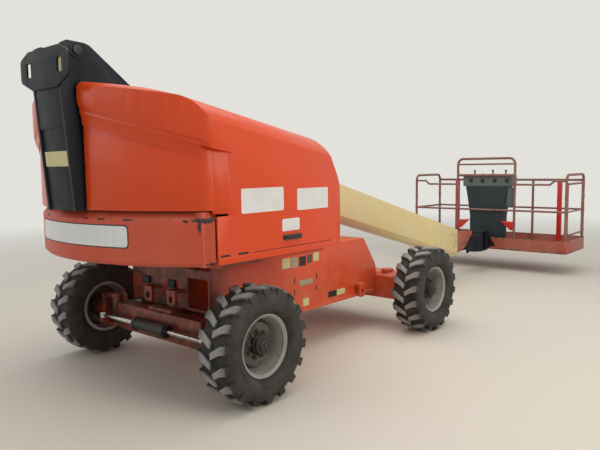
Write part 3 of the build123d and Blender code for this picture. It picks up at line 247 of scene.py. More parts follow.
def buildStudio():
    bm = bmesh.new()
    bmesh.ops.create_grid(bm, x_segments=1, y_segments=1, size=studio["floorHalf"])
    floor = addObject("floor", asMesh(bm, "floor"))
    material, tree, shader, coords = startMaterial("paleFloor")
    connect(tree, shader, {
        "Base Color": linearColour(studio["floor"]), "Roughness": studio["floorRoughness"],
    })
    away = addNode(tree, "VectorMath", {"operation": "LENGTH"}, (coords,), "Value")
    fade = addNode(tree, "MapRange", {"clamp": True}, (away, *studio["fadeMetres"]))
    fade = addNode(tree, "Math", {"operation": "MULTIPLY"}, (fade, seenDirectly(tree)))
    far = addNode(tree, "Emission", {}, {"Color": linearColour(studio["backdrop"])})
    blend = addNode(tree, "MixShader", {}, (fade, shader.outputs[0], far))
    tree.links.new(blend, tree.nodes["Material Output"].inputs["Surface"])
    floor.data.materials.append(material)
    world = bpy.data.worlds.new("studioSky")
    world.use_nodes = True
    sky = world.node_tree
    tones = {6: linearColour(studio["skyLight"]), 7: linearColour(studio["backdrop"])}
    tone = addNode(sky, "Mix", {"data_type": "RGBA"}, {0: seenDirectly(sky), **tones}, 2)
    sky.links.new(tone, sky.nodes["Background"].inputs["Color"])
    bpy.context.scene.world = world
    for name, place, target, size, watts, colour in studio["lamps"]:
        lamp = bpy.data.lights.new(name, "AREA")
        lamp.size = size
        lamp.energy = watts
        lamp.color = linearColour(colour)[:3]
        aim = (Vector(target) - Vector(place)).to_track_quat("-Z", "Y")
        addObject(name, lamp).matrix_world = Matrix.Translation(place) @ aim.to_matrix().to_4x4()


aimCamera()
buildStudio()
bpy.context.scene.view_settings.view_transform = "Standard"
print("camera, floor and light ready")


# Finishes
weathering = {
    # an ordinary paint; each finish below says what differs
    "fadeAmount": 0.5, "topDust": 0.35, "dust": "b3a794", "streaks": 0.12, "grime": "6e5a48", "splash": 0.0,
    "greaseAndShade": "33241c", "bare": "4a3327", "coat": 0.0, "specular": 0.5, "skin": 0.06,
    "chipEdge": 0.03,  # how sharply a chip's rim turns to bare metal
    # sizes of the patterns in millimetres; the skin is orange peel of some 2 mm, drawn coarse enough to show
    "patchMm": 700, "fineMm": 90, "runMm": 60, "chipMm": 26, "raggedMm": 16, "rubMm": 55, "skinMm": 6,
}
noiseDetail = {"patch": 3, "fine": 5, "run": 4, "chip": 6, "ragged": 5, "rub": 6, "skin": 2}
noiseRoughness = 0.55
bumpDepth = 0.002


def weatheredFinish(name, look):
    look = {**weathering, **look}
    material, tree, shader, coords = startMaterial(name)
    # stretched along Z, the noise draws the rain's long runs
    upright = addNode(tree, "Mapping", {}, {"Vector": coords, "Scale": (1.0, 1.0, 0.08)})
    noise = {}
    for key, detail in noiseDetail.items():
        noise[key] = addNode(tree, "TexNoise", {}, {
            "Vector": upright if key == "run" else coords, "Scale": 1000 / look[key + "Mm"], "Detail": detail,
            "Roughness": noiseRoughness,
        })
    place = addNode(tree, "SeparateXYZ", {}, (coords,)).node.outputs
    level = addNode(tree, "SeparateXYZ", {}, (addNode(tree, "NewGeometry", output="Normal"),), "Z")
    layers = [
        (noise["patch"], (0.35, 0.7), None, look["fadeAmount"], look["faded"]),  # bleached by the sun
        (level, (0.25, 0.95), (0.3, 0.75), look["topDust"], look["dust"]),  # dust that settles on level faces
        (noise["run"], (0.52, 0.78), None, look["streaks"], look["grime"]),  # rain's runs
        (place["Z"], (1.0, 0.3), (0.35, 0.7), look["splash"], look["dust"]),  # thrown up by the wheels
    ]
    # darker towards the rear past the given X: grease, with painted shade on the frame's rear
    if "greaseAndShadeFrom" in look:
        layers.append((place["X"], look["greaseAndShadeFrom"], (0.3, 0.62, 0.45, 0.95), 1.0, look["greaseAndShade"]))
    # darker deep in a rim's dish: grease, with painted shade of the recess
    if "well" in look:
        deep = addNode(tree, "Attribute", {"attribute_name": "well"}, output="Fac")
        layers.append((deep, (0.0, 1.0), (0.3, 0.7, 0.75, 1.0), 1.0, look["well"]))
    if "chips" in look:
        start, edge = look["chips"], look["chipEdge"]
        chip = addNode(tree, "MapRange", {"clamp": True}, (noise["chip"], start, start + edge))
        ragged = addNode(tree, "MapRange", {"clamp": True}, (noise["ragged"], 0.3, 0.7, -0.6, 0.6))
        spots = []
        for middle, size in look.get("knocks", []):
            apart = addNode(tree, "VectorMath", {"operation": "SUBTRACT"}, (coords, middle))
            apart = addNode(tree, "VectorMath", {"operation": "DIVIDE"}, (apart, size))
            apart = addNode(tree, "VectorMath", {"operation": "LENGTH"}, (apart,), "Value")
            apart = addNode(tree, "Math", {"operation": "ADD"}, (apart, ragged))
            spots.append(addNode(tree, "MapRange", {"clamp": True}, (apart, 1.08, 0.92)))
        for height, half, cut in look.get("wornEdges", []):
            apart = addNode(tree, "Math", {"operation": "SUBTRACT"}, (place["Z"], height))
            apart = addNode(tree, "Math", {"operation": "ABSOLUTE"}, (apart,))
            near = addNode(tree, "MapRange", {"clamp": True}, (apart, half, half * 0.4))
            rubbed = addNode(tree, "MapRange", {"clamp": True}, (noise["rub"], cut, cut + edge))
            spots.append(addNode(tree, "Math", {"operation": "MULTIPLY"}, (near, rubbed)))
        for spot in spots:
            chip = addNode(tree, "Math", {"operation": "MAXIMUM"}, (chip, spot))
        layers.append((chip, (0.0, 1.0), None, 1.0, look["bare"]))
    low, high = look["roughness"] - 0.06, look["roughness"] + 0.12
    connect(tree, shader, {
        "Base Color": layeredColour(tree, look["paint"], noise["fine"], layers),
        "Roughness": addNode(tree, "MapRange", {"clamp": True}, (noise["fine"], 0.3, 0.8, low, high)),
        "Normal": addNode(tree, "Bump", {}, {
            "Strength": look["skin"], "Distance": bumpDepth, "Height": noise["skin"],
        }),
        "Coat Weight": look["coat"], "Coat Roughness": 0.12, "Specular IOR Level": look["specular"],
    })
    return material


# Gel-coated glass-fibre hood: glossy pigmented resin, a soft sky reflection, a little dust on top
hoodPaint = weatheredFinish("gelCoatOrange", {
    "paint": "d8430c", "faded": "da4d19", "specular": 0.35, "patchMm": 900, "topDust": 0.12, "dust": "d98a68",
    "streaks": 0.08, "grime": "9c3a18", "roughness": 0.32, "coat": 0.15, "skin": 0.02, "skinMm": 40,
    "chips": 0.83, "chipMm": 20, "bare": "7c3419"})
# Enamel on the welded chassis: satin, road dust thrown up on its lower half, grease and painted shade
# darkening its rear at the steered axle
framePaint = weatheredFinish("enamelOrange", {
    "paint": "d24312", "faded": "d2532a", "topDust": 0.4, "dust": "b98f72", "streaks": 0.2,
    "grime": "6d3220", "splash": 0.35, "roughness": 0.42, "coat": 0.08, "chips": 0.76, "chipMm": 22,
    "greaseAndShadeFrom": (wheelbaseMid - 0.95, wheelbaseMid - 1.19)})
tailArc = {"radius": 1.6203, "centreX": wheelbaseMid - 0.396}  # the counterweight's rear, from above


def onTail(along, height):
    angle = along / tailArc["radius"]
    return (tailArc["centreX"] - tailArc["radius"] * cos(angle), tailArc["radius"] * sin(angle), height)


# Sun-bleached enamel on cast iron: chalky pink, knocked down to brown rust along its edges
castPaint = weatheredFinish("chalkyEnamelOrange", {
    "paint": "c64a2a", "faded": "cb5c40", "fadeAmount": 0.8, "patchMm": 500, "topDust": 0.2, "dust": "d8a08a",
    "streaks": 0.14, "grime": "8f4630", "roughness": 0.5, "coat": 0.03, "skin": 0.2, "skinMm": 12,
    "chips": 0.80, "chipMm": 18, "bare": "35231d", "wornEdges": [(1.320, 0.006, 0.60), (1.017, 0.008, 0.62)],
    "knocks": [
        # place on the tail, half sizes in metres; wornEdges above: height, half its width, how much is bare
        (onTail(-1.075, 1.318), (0.085, 0.060, 0.017)), (onTail(-1.065, 1.280), (0.014, 0.014, 0.034)),
        (onTail(-1.130, 1.326), (0.040, 0.030, 0.022)), (onTail(-0.975, 1.316), (0.022, 0.022, 0.011)),
        (onTail(-0.560, 1.322), (0.020, 0.045, 0.007)), (onTail(-0.345, 1.322), (0.020, 0.040, 0.007)),
        (onTail(-0.200, 1.323), (0.020, 0.030, 0.006)), (onTail(0.420, 1.322), (0.020, 0.060, 0.008)),
        (onTail(1.020, 1.318), (0.070, 0.060, 0.014)), (onTail(-1.150, 1.040), (0.050, 0.040, 0.012)),
    ]})
# Cream enamel on the boom sections: satin, rubbed and grey with dust along the top
boomPaint = weatheredFinish("enamelCream", {
    "paint": "ddc88c", "faded": "d8c9a0", "fadeAmount": 0.6, "dust": "cdbf9e", "streaks": 0.14,
    "grime": "9c8a62", "roughness": 0.45, "coat": 0.08, "chips": 0.78, "chipMm": 20, "bare": "6d5a44"})
# Black enamel on the mast: near-black satin with a grey bloom where hands and rain reach
mastPaint = weatheredFinish("enamelBlack", {
    "paint": "0f141c", "faded": "161d27", "fadeAmount": 0.7, "specular": 0.25, "topDust": 0.3,
    "dust": "6c6a66", "streaks": 0.22, "grime": "2b3037", "roughness": 0.42, "coat": 0.03, "chips": 0.78,
    "chipMm": 20, "bare": "6b675f"})
# Worn enamel on the guard rails: faded red-brown with grey primer and rust rubbed through
railPaint = weatheredFinish("wornEnamelRail", {
    "paint": "8b4a3e", "faded": "8a7066", "fadeAmount": 0.9, "patchMm": 240, "topDust": 0.6, "dust": "a39a8c",
    "streaks": 0.4, "grime": "5a463d", "roughness": 0.55, "chips": 0.64, "chipMm": 30, "bare": "75655a"})
# Worn enamel on the platform's tray and the fly's nose: brick red, dusty, brown along its rubbed edges
trayPaint = weatheredFinish("wornEnamelTray", {
    "paint": "a84f38", "faded": "a37161", "fadeAmount": 0.9, "patchMm": 350, "topDust": 0.7, "dust": "b09a85",
    "streaks": 0.5, "grime": "6f4c40", "roughness": 0.55, "chips": 0.69, "chipMm": 26, "bare": "5f4338",
    "wornEdges": [(0.517, 0.016, 0.52), (0.340, 0.020, 0.5)]})
# Newer red enamel on two posts, the gussets and the stop button: clean and glossy
redPaint = weatheredFinish("enamelRed", {
    "paint": "c8200e", "faded": "cc3a22", "fadeAmount": 0.4, "topDust": 0.3, "dust": "c99a86", "streaks": 0.1,
    "grime": "8c3320", "roughness": 0.38, "coat": 0.2, "chips": 0.76, "chipMm": 24, "bare": "c9c2b8"})
# Silver enamel on the pressed rims: grey with dust, darkened almost to black down in the dish by grease and
# painted shade
rimPaint = weatheredFinish("enamelSilver", {
    "paint": "a3a19b", "faded": "85827a", "fadeAmount": 0.7, "well": "2b2722", "patchMm": 130, "topDust": 0.6,
    "dust": "8f8370", "streaks": 0.45, "grime": "4b443a", "roughness": 0.38, "coat": 0.05, "chips": 0.68,
    "chipMm": 16, "bare": "4d4238"})
# Dark enamel under grease on hubs, pins, cylinders, engine and tank: black-brown, uneven
hubPaint = weatheredFinish("greasyBlackEnamel", {
    "paint": "211f1b", "faded": "322e28", "fadeAmount": 0.7, "patchMm": 60, "topDust": 0.5, "dust": "6d6252",
    "streaks": 0.2, "grime": "4a4034", "roughness": 0.48, "skin": 0.25, "skinMm": 5, "chips": 0.72,
    "chipMm": 14, "bare": "5b4a3a"})
# Rotationally moulded polyethylene of covers and latches: matt, fine-grained, grey with age
coverPlastic = weatheredFinish("mouldedPolyethylene", {
    "paint": "232d2f", "faded": "2f3a3b", "fadeAmount": 0.7, "specular": 0.35, "topDust": 0.4,
    "dust": "77736b", "streaks": 0.2, "grime": "4b4c4c", "roughness": 0.6, "skin": 0.3, "skinMm": 3})
# Moulded ABS of the console's top: cool grey, lightly scratched
consolePlastic = weatheredFinish("mouldedAbsGrey", {
    "paint": "57605f", "faded": "666e6b", "fadeAmount": 0.6, "topDust": 0.5, "dust": "9b9689", "streaks": 0.2,
    "grime": "4d4f50", "roughness": 0.5, "skin": 0.25, "skinMm": 3})
# Blank vinyl plates: white, glossy, with faint runs of dirt
platePaint = weatheredFinish("vinylWhite", {
    "paint": "e3e2df", "faded": "d6d4ce", "fadeAmount": 0.6, "patchMm": 120, "topDust": 0.2, "streaks": 0.15,
    "grime": "a79f93", "roughness": 0.35, "coat": 0.2})
# The same vinyl in other plain colours
creamPlate = weatheredFinish("vinylCream", {
    "paint": "d3c98c", "faded": "c4bb86", "fadeAmount": 0.6, "patchMm": 80, "topDust": 0.2, "streaks": 0.2,
    "grime": "8a8260", "roughness": 0.4, "coat": 0.1})
greyPlate = weatheredFinish("vinylGrey", {
    "paint": "a59f86", "faded": "8f8a76", "fadeAmount": 0.6, "patchMm": 80, "topDust": 0.2, "streaks": 0.2,
    "grime": "6d6858", "roughness": 0.4})
# Black vinyl, which also fills slot and groove recesses as painted shade
blackVinylAndShade = weatheredFinish("vinylBlackAndShade", {
    "paint": "1d1c1b", "faded": "2c2a27", "fadeAmount": 0.6, "patchMm": 60, "topDust": 0.2, "streaks": 0.2,
    "grime": "3d3833", "roughness": 0.42})
slatePlate = weatheredFinish("vinylSlate", {
    "paint": "4b4a46", "faded": "5d5a52", "fadeAmount": 0.6, "patchMm": 60, "topDust": 0.2, "streaks": 0.2,
    "grime": "39352f", "roughness": 0.42})
print("painted finishes ready")


def bareSteel(name, tint, roughness, scratchMm):
    material, tree, shader, coords = startMaterial(name)
    line = addNode(tree, "TexNoise", {}, {"Vector": coords, "Scale": 1000 / scratchMm, "Detail": 4.0,
                                          "Roughness": noiseRoughness})
    duller = roughness + 0.18
    connect(tree, shader, {
        "Base Color": layeredColour(tree, tint, None, [(line, (0.4, 0.7), None, 1.0, "8d857a")]),
        "Roughness": addNode(tree, "MapRange", {"clamp": True}, (line, 0.3, 0.7, roughness, duller)),
        "Metallic": 1.0,
    })
    return material


chromeRod = bareSteel("hardChromePlate", "d4d5d6", 0.1, 30)  # ground and plated rods: mirror bright, smeared
nutSteel = bareSteel("phosphatedSteel", "5a5248", 0.42, 8)  # wheel nuts: dark, brown in the corners
zincBolt = bareSteel("zincPlatedSteel", "b3ada0", 0.34, 8)  # fasteners: dull silver, a little brown
treadRubber = {
    "black": "201f1d", "grey": "302d29", "film": "5f5a50", "dust": "a09e98", "patchMm": 140, "gritMm": 9,
}


# Vulcanised carbon-black rubber: deep grey, with pale dust on the lugs' worn faces.
# Its grit is drawn coarse enough to show.
def tyreRubber():
    look = treadRubber
    material, tree, shader, coords = startMaterial("vulcanisedRubber")
    worn = addNode(tree, "Attribute", {"attribute_name": "worn"}, output="Fac")
    broad, grit = [addNode(tree, "TexNoise", {}, {
        "Vector": coords, "Scale": 1000 / look[size], "Detail": 4.0, "Roughness": noiseRoughness,
    }) for size in ("patchMm", "gritMm")]
    layers = [
        (broad, (0.35, 0.7), None, 1.0, look["grey"]), (broad, (0.3, 0.75), None, 0.3, look["film"]),
        (worn, (0.5, 1.0), (0.25, 0.55, 0.55, 0.95), 1.0, look["dust"]),
    ]
    connect(tree, shader, {
        "Base Color": layeredColour(tree, look["black"], grit, layers), "Roughness": 0.82, "IOR": 1.52,
        "Normal": addNode(tree, "Bump", {}, {"Strength": 0.35, "Distance": bumpDepth, "Height": grit}),
    })
    return material


rubber = tyreRubber()


# Wheels
tyre = {
    "radius": 0.420, "width": 0.300, "treadRadius": 0.390, "beadRadius": 0.2135, "steps": 108,
    "lugsASide": 18, "lugBase": 0.372, "lugTaper": 0.86, "lugFoot": 0.040, "lugShoulder": 0.012,
    "shoulderFrom": 0.9,  # share of the half width
    "lugRound": 0.004, "roundFrom": 0.020, "wornFrom": 0.022, "wornOver": 0.016,  # below the lug's top
}
rim = {
    "seat": 0.209, "flange": 0.224, "half": 0.113, "wall": 0.009, "discOut": 0.030, "bore": 0.0745,
    "steps": 96, "studs": 9, "studRadius": 0.094, "wellDepth": 0.020,
}
hub = {
    "flange": 0.104, "nose": 0.0738, "steps": 64, "caps": 8, "capRing": 0.052, "capsOut": 0.0612,
    "plugOut": 0.0735, "turn": 0.2,
}


def lugShape(side):
    half, top, low = tyre["width"] / 2, tyre["radius"], tyre["lugBase"]
    outline = [
        (-0.036, half - 0.001), (-0.045, half * 0.60), (-0.060, half * 0.40), (-0.096, 0.008),
        (-0.044, 0.004), (0.000, half * 0.42), (0.024, half * 0.64), (0.036, half - 0.001),
    ]
    bm = bmesh.new()
    lid = extrude(bm, [bm.faces.new([bm.verts.new((x, y, low)) for x, y in outline])])
    bmesh.ops.translate(bm, verts=lid, vec=(0, 0, top - low))
    middle = sum((v.co for v in lid), Vector()) / len(lid)
    bmesh.ops.scale(bm, verts=lid, vec=(tyre["lugTaper"], 1, 1), space=Matrix.Translation(-middle))
    for v in lid:  # the shoulder is cut back
        if v.co.y > half * tyre["shoulderFrom"]:
            v.co -= Vector((0, tyre["lugShoulder"], tyre["lugShoulder"]))
    for v in bm.verts:  # the foot runs down the flank
        if v.co.z < low + 0.001 and v.co.y > half * tyre["shoulderFrom"]:
            v.co.z -= tyre["lugFoot"]
    bmesh.ops.recalc_face_normals(bm, faces=bm.faces)
    worn = bm.verts.layers.float.new("worn")
    upper = [e for e in bm.edges if min(v.co.z for v in e.verts) > top - tyre["roundFrom"]]
    bevel(bm, upper, tyre["lugRound"])
    for v in bm.verts:  # bend it round the tyre
        v.co.z = min(v.co.z, top)
        v[worn] = min(max((v.co.z - top + tyre["wornFrom"]) / tyre["wornOver"], 0), 1)
        angle = v.co.x / top
        v.co = Vector((v.co.z * sin(angle), side * v.co.y, v.co.z * cos(angle)))
    return bm


def buildTyre():
    tread, bead = tyre["treadRadius"], tyre["beadRadius"]
    flank = [
        (0.104, bead), (0.107, 0.232), (0.121, 0.240), (0.135, 0.252), (0.1445, 0.268), (0.1475, 0.280),
        (0.1445, 0.284), (0.1485, 0.300), (0.1495, 0.318), (0.1475, 0.336), (0.1425, 0.354), (0.134, 0.370),
        (0.120, 0.383), (0.090, tread - 0.002), (0.045, tread),
    ]
    bm = bmesh.new()
    spinProfile(bm, flank + [(-y, r) for y, r in reversed(flank)], tyre["steps"])
    worn = bm.verts.layers.float.new("worn")
    for v in bm.verts:
        v[worn] = 0.0
    pitch = 2 * pi / tyre["lugsASide"]
    for side, _ in sides:
        lug = lugShape(side)
        if side < 0:
            bmesh.ops.reverse_faces(lug, faces=lug.faces)
        shape = asMesh(lug, "lug")
        for i in range(tyre["lugsASide"]):
            start = len(bm.verts)
            bm.from_mesh(shape)
            bm.verts.ensure_lookup_table()
            turn = Matrix.Rotation(pitch * (i + (0 if side > 0 else 0.5)), 3, "Y")
            bmesh.ops.rotate(bm, verts=bm.verts[start:], cent=(0, 0, 0), matrix=turn)
        bpy.data.meshes.remove(shape)
    return asMesh(bm, "carcass")


def buildRim():
    flange, half, wall, disc, bore = rim["flange"], rim["half"], rim["wall"], rim["discOut"], rim["bore"]
    inner = rim["seat"] - wall
    outline = [
        (-half, inner), (-0.02, inner), (-0.012, inner - 0.022), (disc - 0.012, inner - 0.042),
        (disc - 0.012, bore), (disc, bore), (disc, inner - 0.046), (0.004, inner - 0.030),
        (-0.004, inner - 0.006), (0.052, inner - 0.004), (0.060, inner + 0.0005),
        (half - 0.014, inner + 0.002), (half - 0.004, flange - 0.010), (half, flange - 0.008), (half, flange),
        (half - wall, flange), (half - wall, rim["seat"]), (-half + wall, rim["seat"]),
        (-half + wall, flange), (-half, flange),
    ]
    bm = bmesh.new()
    spinProfile(bm, outline, rim["steps"])
    # how deep a place lies in the dish sets the dish's grease and painted shade
    well = bm.verts.layers.float.new("well")  # how deep a place lies in the dish
    for v in bm.verts:
        out = sqrt(v.co.x ** 2 + v.co.z ** 2)
        v[well] = min(max((inner - 0.006 - out) / rim["wellDepth"], 0), 1)
    return asMesh(bm, "rimShape")


def addRing(bm, kind, count, ringRadius, y, turn=0):
    for i in range(count):
        angle = 2 * pi * i / count + turn
        where = Matrix.Translation((ringRadius * sin(angle), y, ringRadius * cos(angle)))
        where = where @ Matrix.Rotation(-pi / 2, 4, "X") @ Matrix.Translation((0, 0, kind["height"] / 2))
        made = bmesh.ops.create_cone(bm, cap_ends=True, segments=kind["sides"], radius1=kind["radius"],
                                     radius2=kind["radius"], depth=kind["height"], matrix=where)
        if "round" in kind:
            bevel(bm, sharpEdges(edgesOf(made), 50), kind["round"])


def buildNuts():
    bm = bmesh.new()
    nut = {"sides": 6, "radius": 0.0155, "height": 0.016, "round": 0.0012}
    stud = {"sides": 12, "radius": 0.0085, "height": 0.030, "round": 0.001}
    washer = {"sides": 20, "radius": 0.0180, "height": 0.003}
    for kind in (nut, stud, washer):
        addRing(bm, kind, rim["studs"], rim["studRadius"], rim["discOut"] - 0.0005)
    return asMesh(bm, "nutShape")


def buildHub():
    face = rim["discOut"]
    outline = [
        (0.0, 0.0), (0.0, hub["flange"]), (0.0175, hub["flange"]), (0.0175, hub["nose"]),
        (face + 0.030, 0.0735), (face + 0.034, 0.069), (face + 0.052, 0.068), (face + 0.061, 0.062),
        (face + 0.062, 0.042), (face + 0.071, 0.038), (face + 0.074, 0.030), (face + 0.074, 0.0),
    ]
    bm = bmesh.new()
    spinProfile(bm, outline, hub["steps"], closed=False)
    bmesh.ops.remove_doubles(bm, verts=bm.verts, dist=0.0001)
    cap = {"sides": 6, "radius": 0.0065, "height": 0.006, "round": 0.0006}
    addRing(bm, cap, hub["caps"], hub["capRing"], face + hub["capsOut"], hub["turn"])
    plug = {"sides": 6, "radius": 0.013, "height": 0.009, "round": 0.001}
    addRing(bm, plug, 1, 0.0, face + hub["plugOut"])
    return asMesh(bm, "hubShape")


def buildWheels():
    shapes = [
        # mesh, name, slot, material, degrees from which an edge stays sharp
        (buildTyre(), "tyre", "tyre", rubber, 38),
        (buildRim(), "rim", "silver_paint", rimPaint, 30),
        (buildHub(), "hub", "dark_iron", hubPaint, 30),
        (buildNuts(), "wheel_nuts", "dark_iron", nutSteel, 30),
    ]
    for corner in ("steer_left", "steer_right", "drive_left", "drive_right"):
        low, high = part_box("tyre_" + corner)
        x = wheelbaseMid + (wheelbase if "drive" in corner else -wheelbase) / 2
        centre = Vector((x, (low.y + high.y) / 2, tyre["radius"]))
        for source, part, slotName, material, angle in shapes:
            bm = bmesh.new()
            bm.from_mesh(source)
            if "right" in corner:
                bmesh.ops.scale(bm, verts=bm.verts, vec=(1, -1, 1))
            bmesh.ops.translate(bm, verts=bm.verts, vec=centre)
            name, body = f"{part}_{corner}", "wheel_" + corner
            if part == "wheel_nuts":
                makePiece(bm, name, body, material, angle)
            else:
                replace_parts(makePiece(bm, name + "_finished", body, material, angle), name)


buildWheels()
print("wheels built")


# Plates, bolts and other shared small work
plateThickness = 0.0012


def roundedPanel(width, height, corner, strips=1):
    bm = bmesh.new()
    wide, tall = width / 2, height / 2
    verts = [bm.verts.new((x, 0, z)) for x, z in ((-wide, -tall), (wide, -tall), (wide, tall), (-wide, tall))]
    bm.faces.new(verts)
    bevel(bm, verts, corner, 5, "VERTICES")
    for i in range(1, strips):
        bmesh.ops.bisect_plane(bm, geom=bm.verts[:] + bm.edges[:] + bm.faces[:],
                               plane_co=(-width / 2 + width * i / strips, 0, 0), plane_no=(1, 0, 0))
    return bm


def thicken(bm, depth, towards):
    bmesh.ops.translate(bm, verts=extrude(bm, bm.faces[:]), vec=Vector(towards) * depth)


def sidePlate(name, body, side, place, size, material, corner=0.012):
    bm = roundedPanel(*size, corner)
    x, y, z = place
    bmesh.ops.translate(bm, verts=bm.verts, vec=(x, side * y, z))
    thicken(bm, plateThickness, (0, side, 0))
    return makePiece(bm, name, body, material)


bolt = {"radius": 0.010, "height": 0.009, "flange": 1.5, "flangeHeight": 0.003, "sunk": 0.0005, "round": 0.08}


def boltRow(name, body, places, axis):
    bm = bmesh.new()
    turn = Vector((0, 0, 1)).rotation_difference(Vector(axis)).to_matrix().to_4x4()
    radius, flange, thick = bolt["radius"], bolt["radius"] * bolt["flange"], bolt["flangeHeight"]
    seated = Matrix.Translation((0, 0, thick / 2 - bolt["sunk"]))
    raised = Matrix.Translation((0, 0, thick - 2 * bolt["sunk"] + bolt["height"] / 2))
    for place in places:
        at = Matrix.Translation(place) @ turn
        bmesh.ops.create_cone(bm, cap_ends=True, segments=18, radius1=flange, radius2=flange, depth=thick,
                              matrix=at @ seated)
        made = bmesh.ops.create_cone(bm, cap_ends=True, segments=6, radius1=radius, radius2=radius,
                                     depth=bolt["height"], matrix=at @ raised)
        bevel(bm, sharpEdges(edgesOf(made), 70), radius * bolt["round"], 1)
    makePiece(bm, name, body, zincBolt, 30)


def addBox(bm, low, high, edge=0.002, segments=2):
    middle = [(a + b) / 2 for a, b in zip(low, high)]
    size = Matrix.Diagonal([b - a for a, b in zip(low, high)] + [1])
    made = bmesh.ops.create_cube(bm, size=1, matrix=Matrix.Translation(middle) @ size)
    bevel(bm, list(edgesOf(made)), edge, segments)


def addRod(bm, start, end, radius, edge=0.0015, endRadius=None):
    start, end = Vector(start), Vector(end)
    turn = Vector((0, 0, 1)).rotation_difference(end - start).to_matrix().to_4x4()
    where = Matrix.Translation((start + end) / 2) @ turn
    made = bmesh.ops.create_cone(bm, cap_ends=True, segments=24, radius1=radius, radius2=endRadius or radius,
                                 depth=(end - start).length, matrix=where)
    bevel(bm, sharpEdges(edgesOf(made), 60), edge)


# A cut plate of some thickness along X, with its edges broken
def flatPlate(outline, holes, thickness, edge, merge=False):
    bm = bmesh.new()
    edges = []
    for loop in (outline, *holes):
        verts = [bm.verts.new(point) for point in loop]
        edges += [bm.edges.new((a, b)) for a, b in zip(verts, verts[1:] + verts[:1])]
    bmesh.ops.triangle_fill(bm, use_beauty=True, use_dissolve=False, edges=edges)
    if merge:
        bmesh.ops.dissolve_limit(bm, angle_limit=radians(1), verts=bm.verts, edges=bm.edges)
    thicken(bm, thickness, (1, 0, 0))
    bmesh.ops.recalc_face_normals(bm, faces=bm.faces)
    bevel(bm, sharpEdges(bm.edges, 50), edge)
    return bm


# Chassis and axles
frameMarks = [
    # name, x from mid-wheelbase, z, width, height, finish: blank plates on the frame's sides
    ("tag_a", -0.318, 0.822, 0.106, 0.088, creamPlate), ("tag_b", -0.209, 0.817, 0.086, 0.092, greyPlate),
    ("tag_c", -0.100, 0.816, 0.092, 0.086, blackVinylAndShade), ("tag_d", -0.002, 0.827, 0.066, 0.078, slatePlate),
    ("tag_e", 0.092, 0.833, 0.082, 0.078, creamPlate), ("label", -0.054, 0.620, 0.186, 0.050, greyPlate),
    ("load_tag", -0.058, 0.437, 0.080, 0.070, creamPlate),
    ("bar_rear", 0.335, 0.446, 0.132, 0.056, blackVinylAndShade),
    ("bar_front", 0.468, 0.446, 0.132, 0.056, creamPlate),
]
chassis = {
    "side": 0.5, "plateOut": 0.0001, "slotShadeOut": 0.0005, "slotShadeDepth": 0.0012, "slotShadeHalf": (0.0065, 0.026),
    "slots": [(-0.213, 0.657), (-0.214, 0.550), (0.096, 0.652), (0.095, 0.545)],
    "rearX": wheelbaseMid - 1.190, "rearBoxes": (-0.05, 0.29), "rearBoxZ": 0.73,
    "rearBoxHalf": (0.045, 0.030), "rearBoxOut": 0.022, "rearBoxIn": 0.004,
    "ringX": wheelbaseMid - 0.1975, "ringZ": 0.930, "ringRadius": 0.398, "ringBolts": 28,
}


def buildChassis():
    softened("chassis_frame", 0.005, framePaint)
    for name in ("steer_axle", "drive_axle", "knuckle_left", "knuckle_right"):
        softened(name, 0.004, framePaint)
    softened("slewing_ring", 0.003, hubPaint)
    softened("steering_cylinder_barrel", 0.002, hubPaint)
    repaint(["steering_rod"], chromeRod)
    half, tall = chassis["slotShadeHalf"]
    for side, word in sides:
        for name, x, z, width, height, finish in frameMarks:
            place = (wheelbaseMid + x, chassis["side"] + chassis["plateOut"], z)
            sidePlate(f"frame_{name}_{word}", "chassis", side, place, (width, height), finish, 0.004)
        # dark boxes in the frame's slots: painted shade of their recesses
        bm = bmesh.new()
        y, deep = side * (chassis["side"] + chassis["slotShadeOut"]), chassis["slotShadeDepth"]
        for x, z in chassis["slots"]:
            x += wheelbaseMid
            addBox(bm, (x - half, y - deep, z - tall), (x + half, y + deep, z + tall), deep / 2, 1)
        makePiece(bm, f"frame_slot_shade_{word}", "chassis", blackVinylAndShade)
    bm = bmesh.new()
    x, z, (half, tall) = chassis["rearX"], chassis["rearBoxZ"], chassis["rearBoxHalf"]
    back, front = x - chassis["rearBoxOut"], x + chassis["rearBoxIn"]
    for y in chassis["rearBoxes"]:
        addBox(bm, (back, y - half, z - tall), (front, y + half, z + tall), 0.006, 3)
    makePiece(bm, "frame_rear_boxes", "chassis", coverPlastic)
    radius, count = chassis["ringRadius"], chassis["ringBolts"]
    angles = [2 * pi * i / count for i in range(count)]
    ring = [(chassis["ringX"] + radius * cos(a), radius * sin(a), chassis["ringZ"]) for a in angles]
    boltRow("slewing_ring_bolts", "chassis", ring, (0, 0, 1))


buildChassis()
print("chassis built")


# Turntable, hoods and mast
mastHead = {
    "x": wheelbaseMid - 2.1492, "thickness": 0.014, "edge": 0.0025,
    "slotLow": 2.283, "slotHigh": 2.375, "slotY": (0.178, 0.236), "slotLap": 0.008,
    "half": [(0.164, 2.190), (0.315, 2.252), (0.325, 2.280), (0.325, 2.396), (0.301, 2.418), (0.205, 2.456)],
}


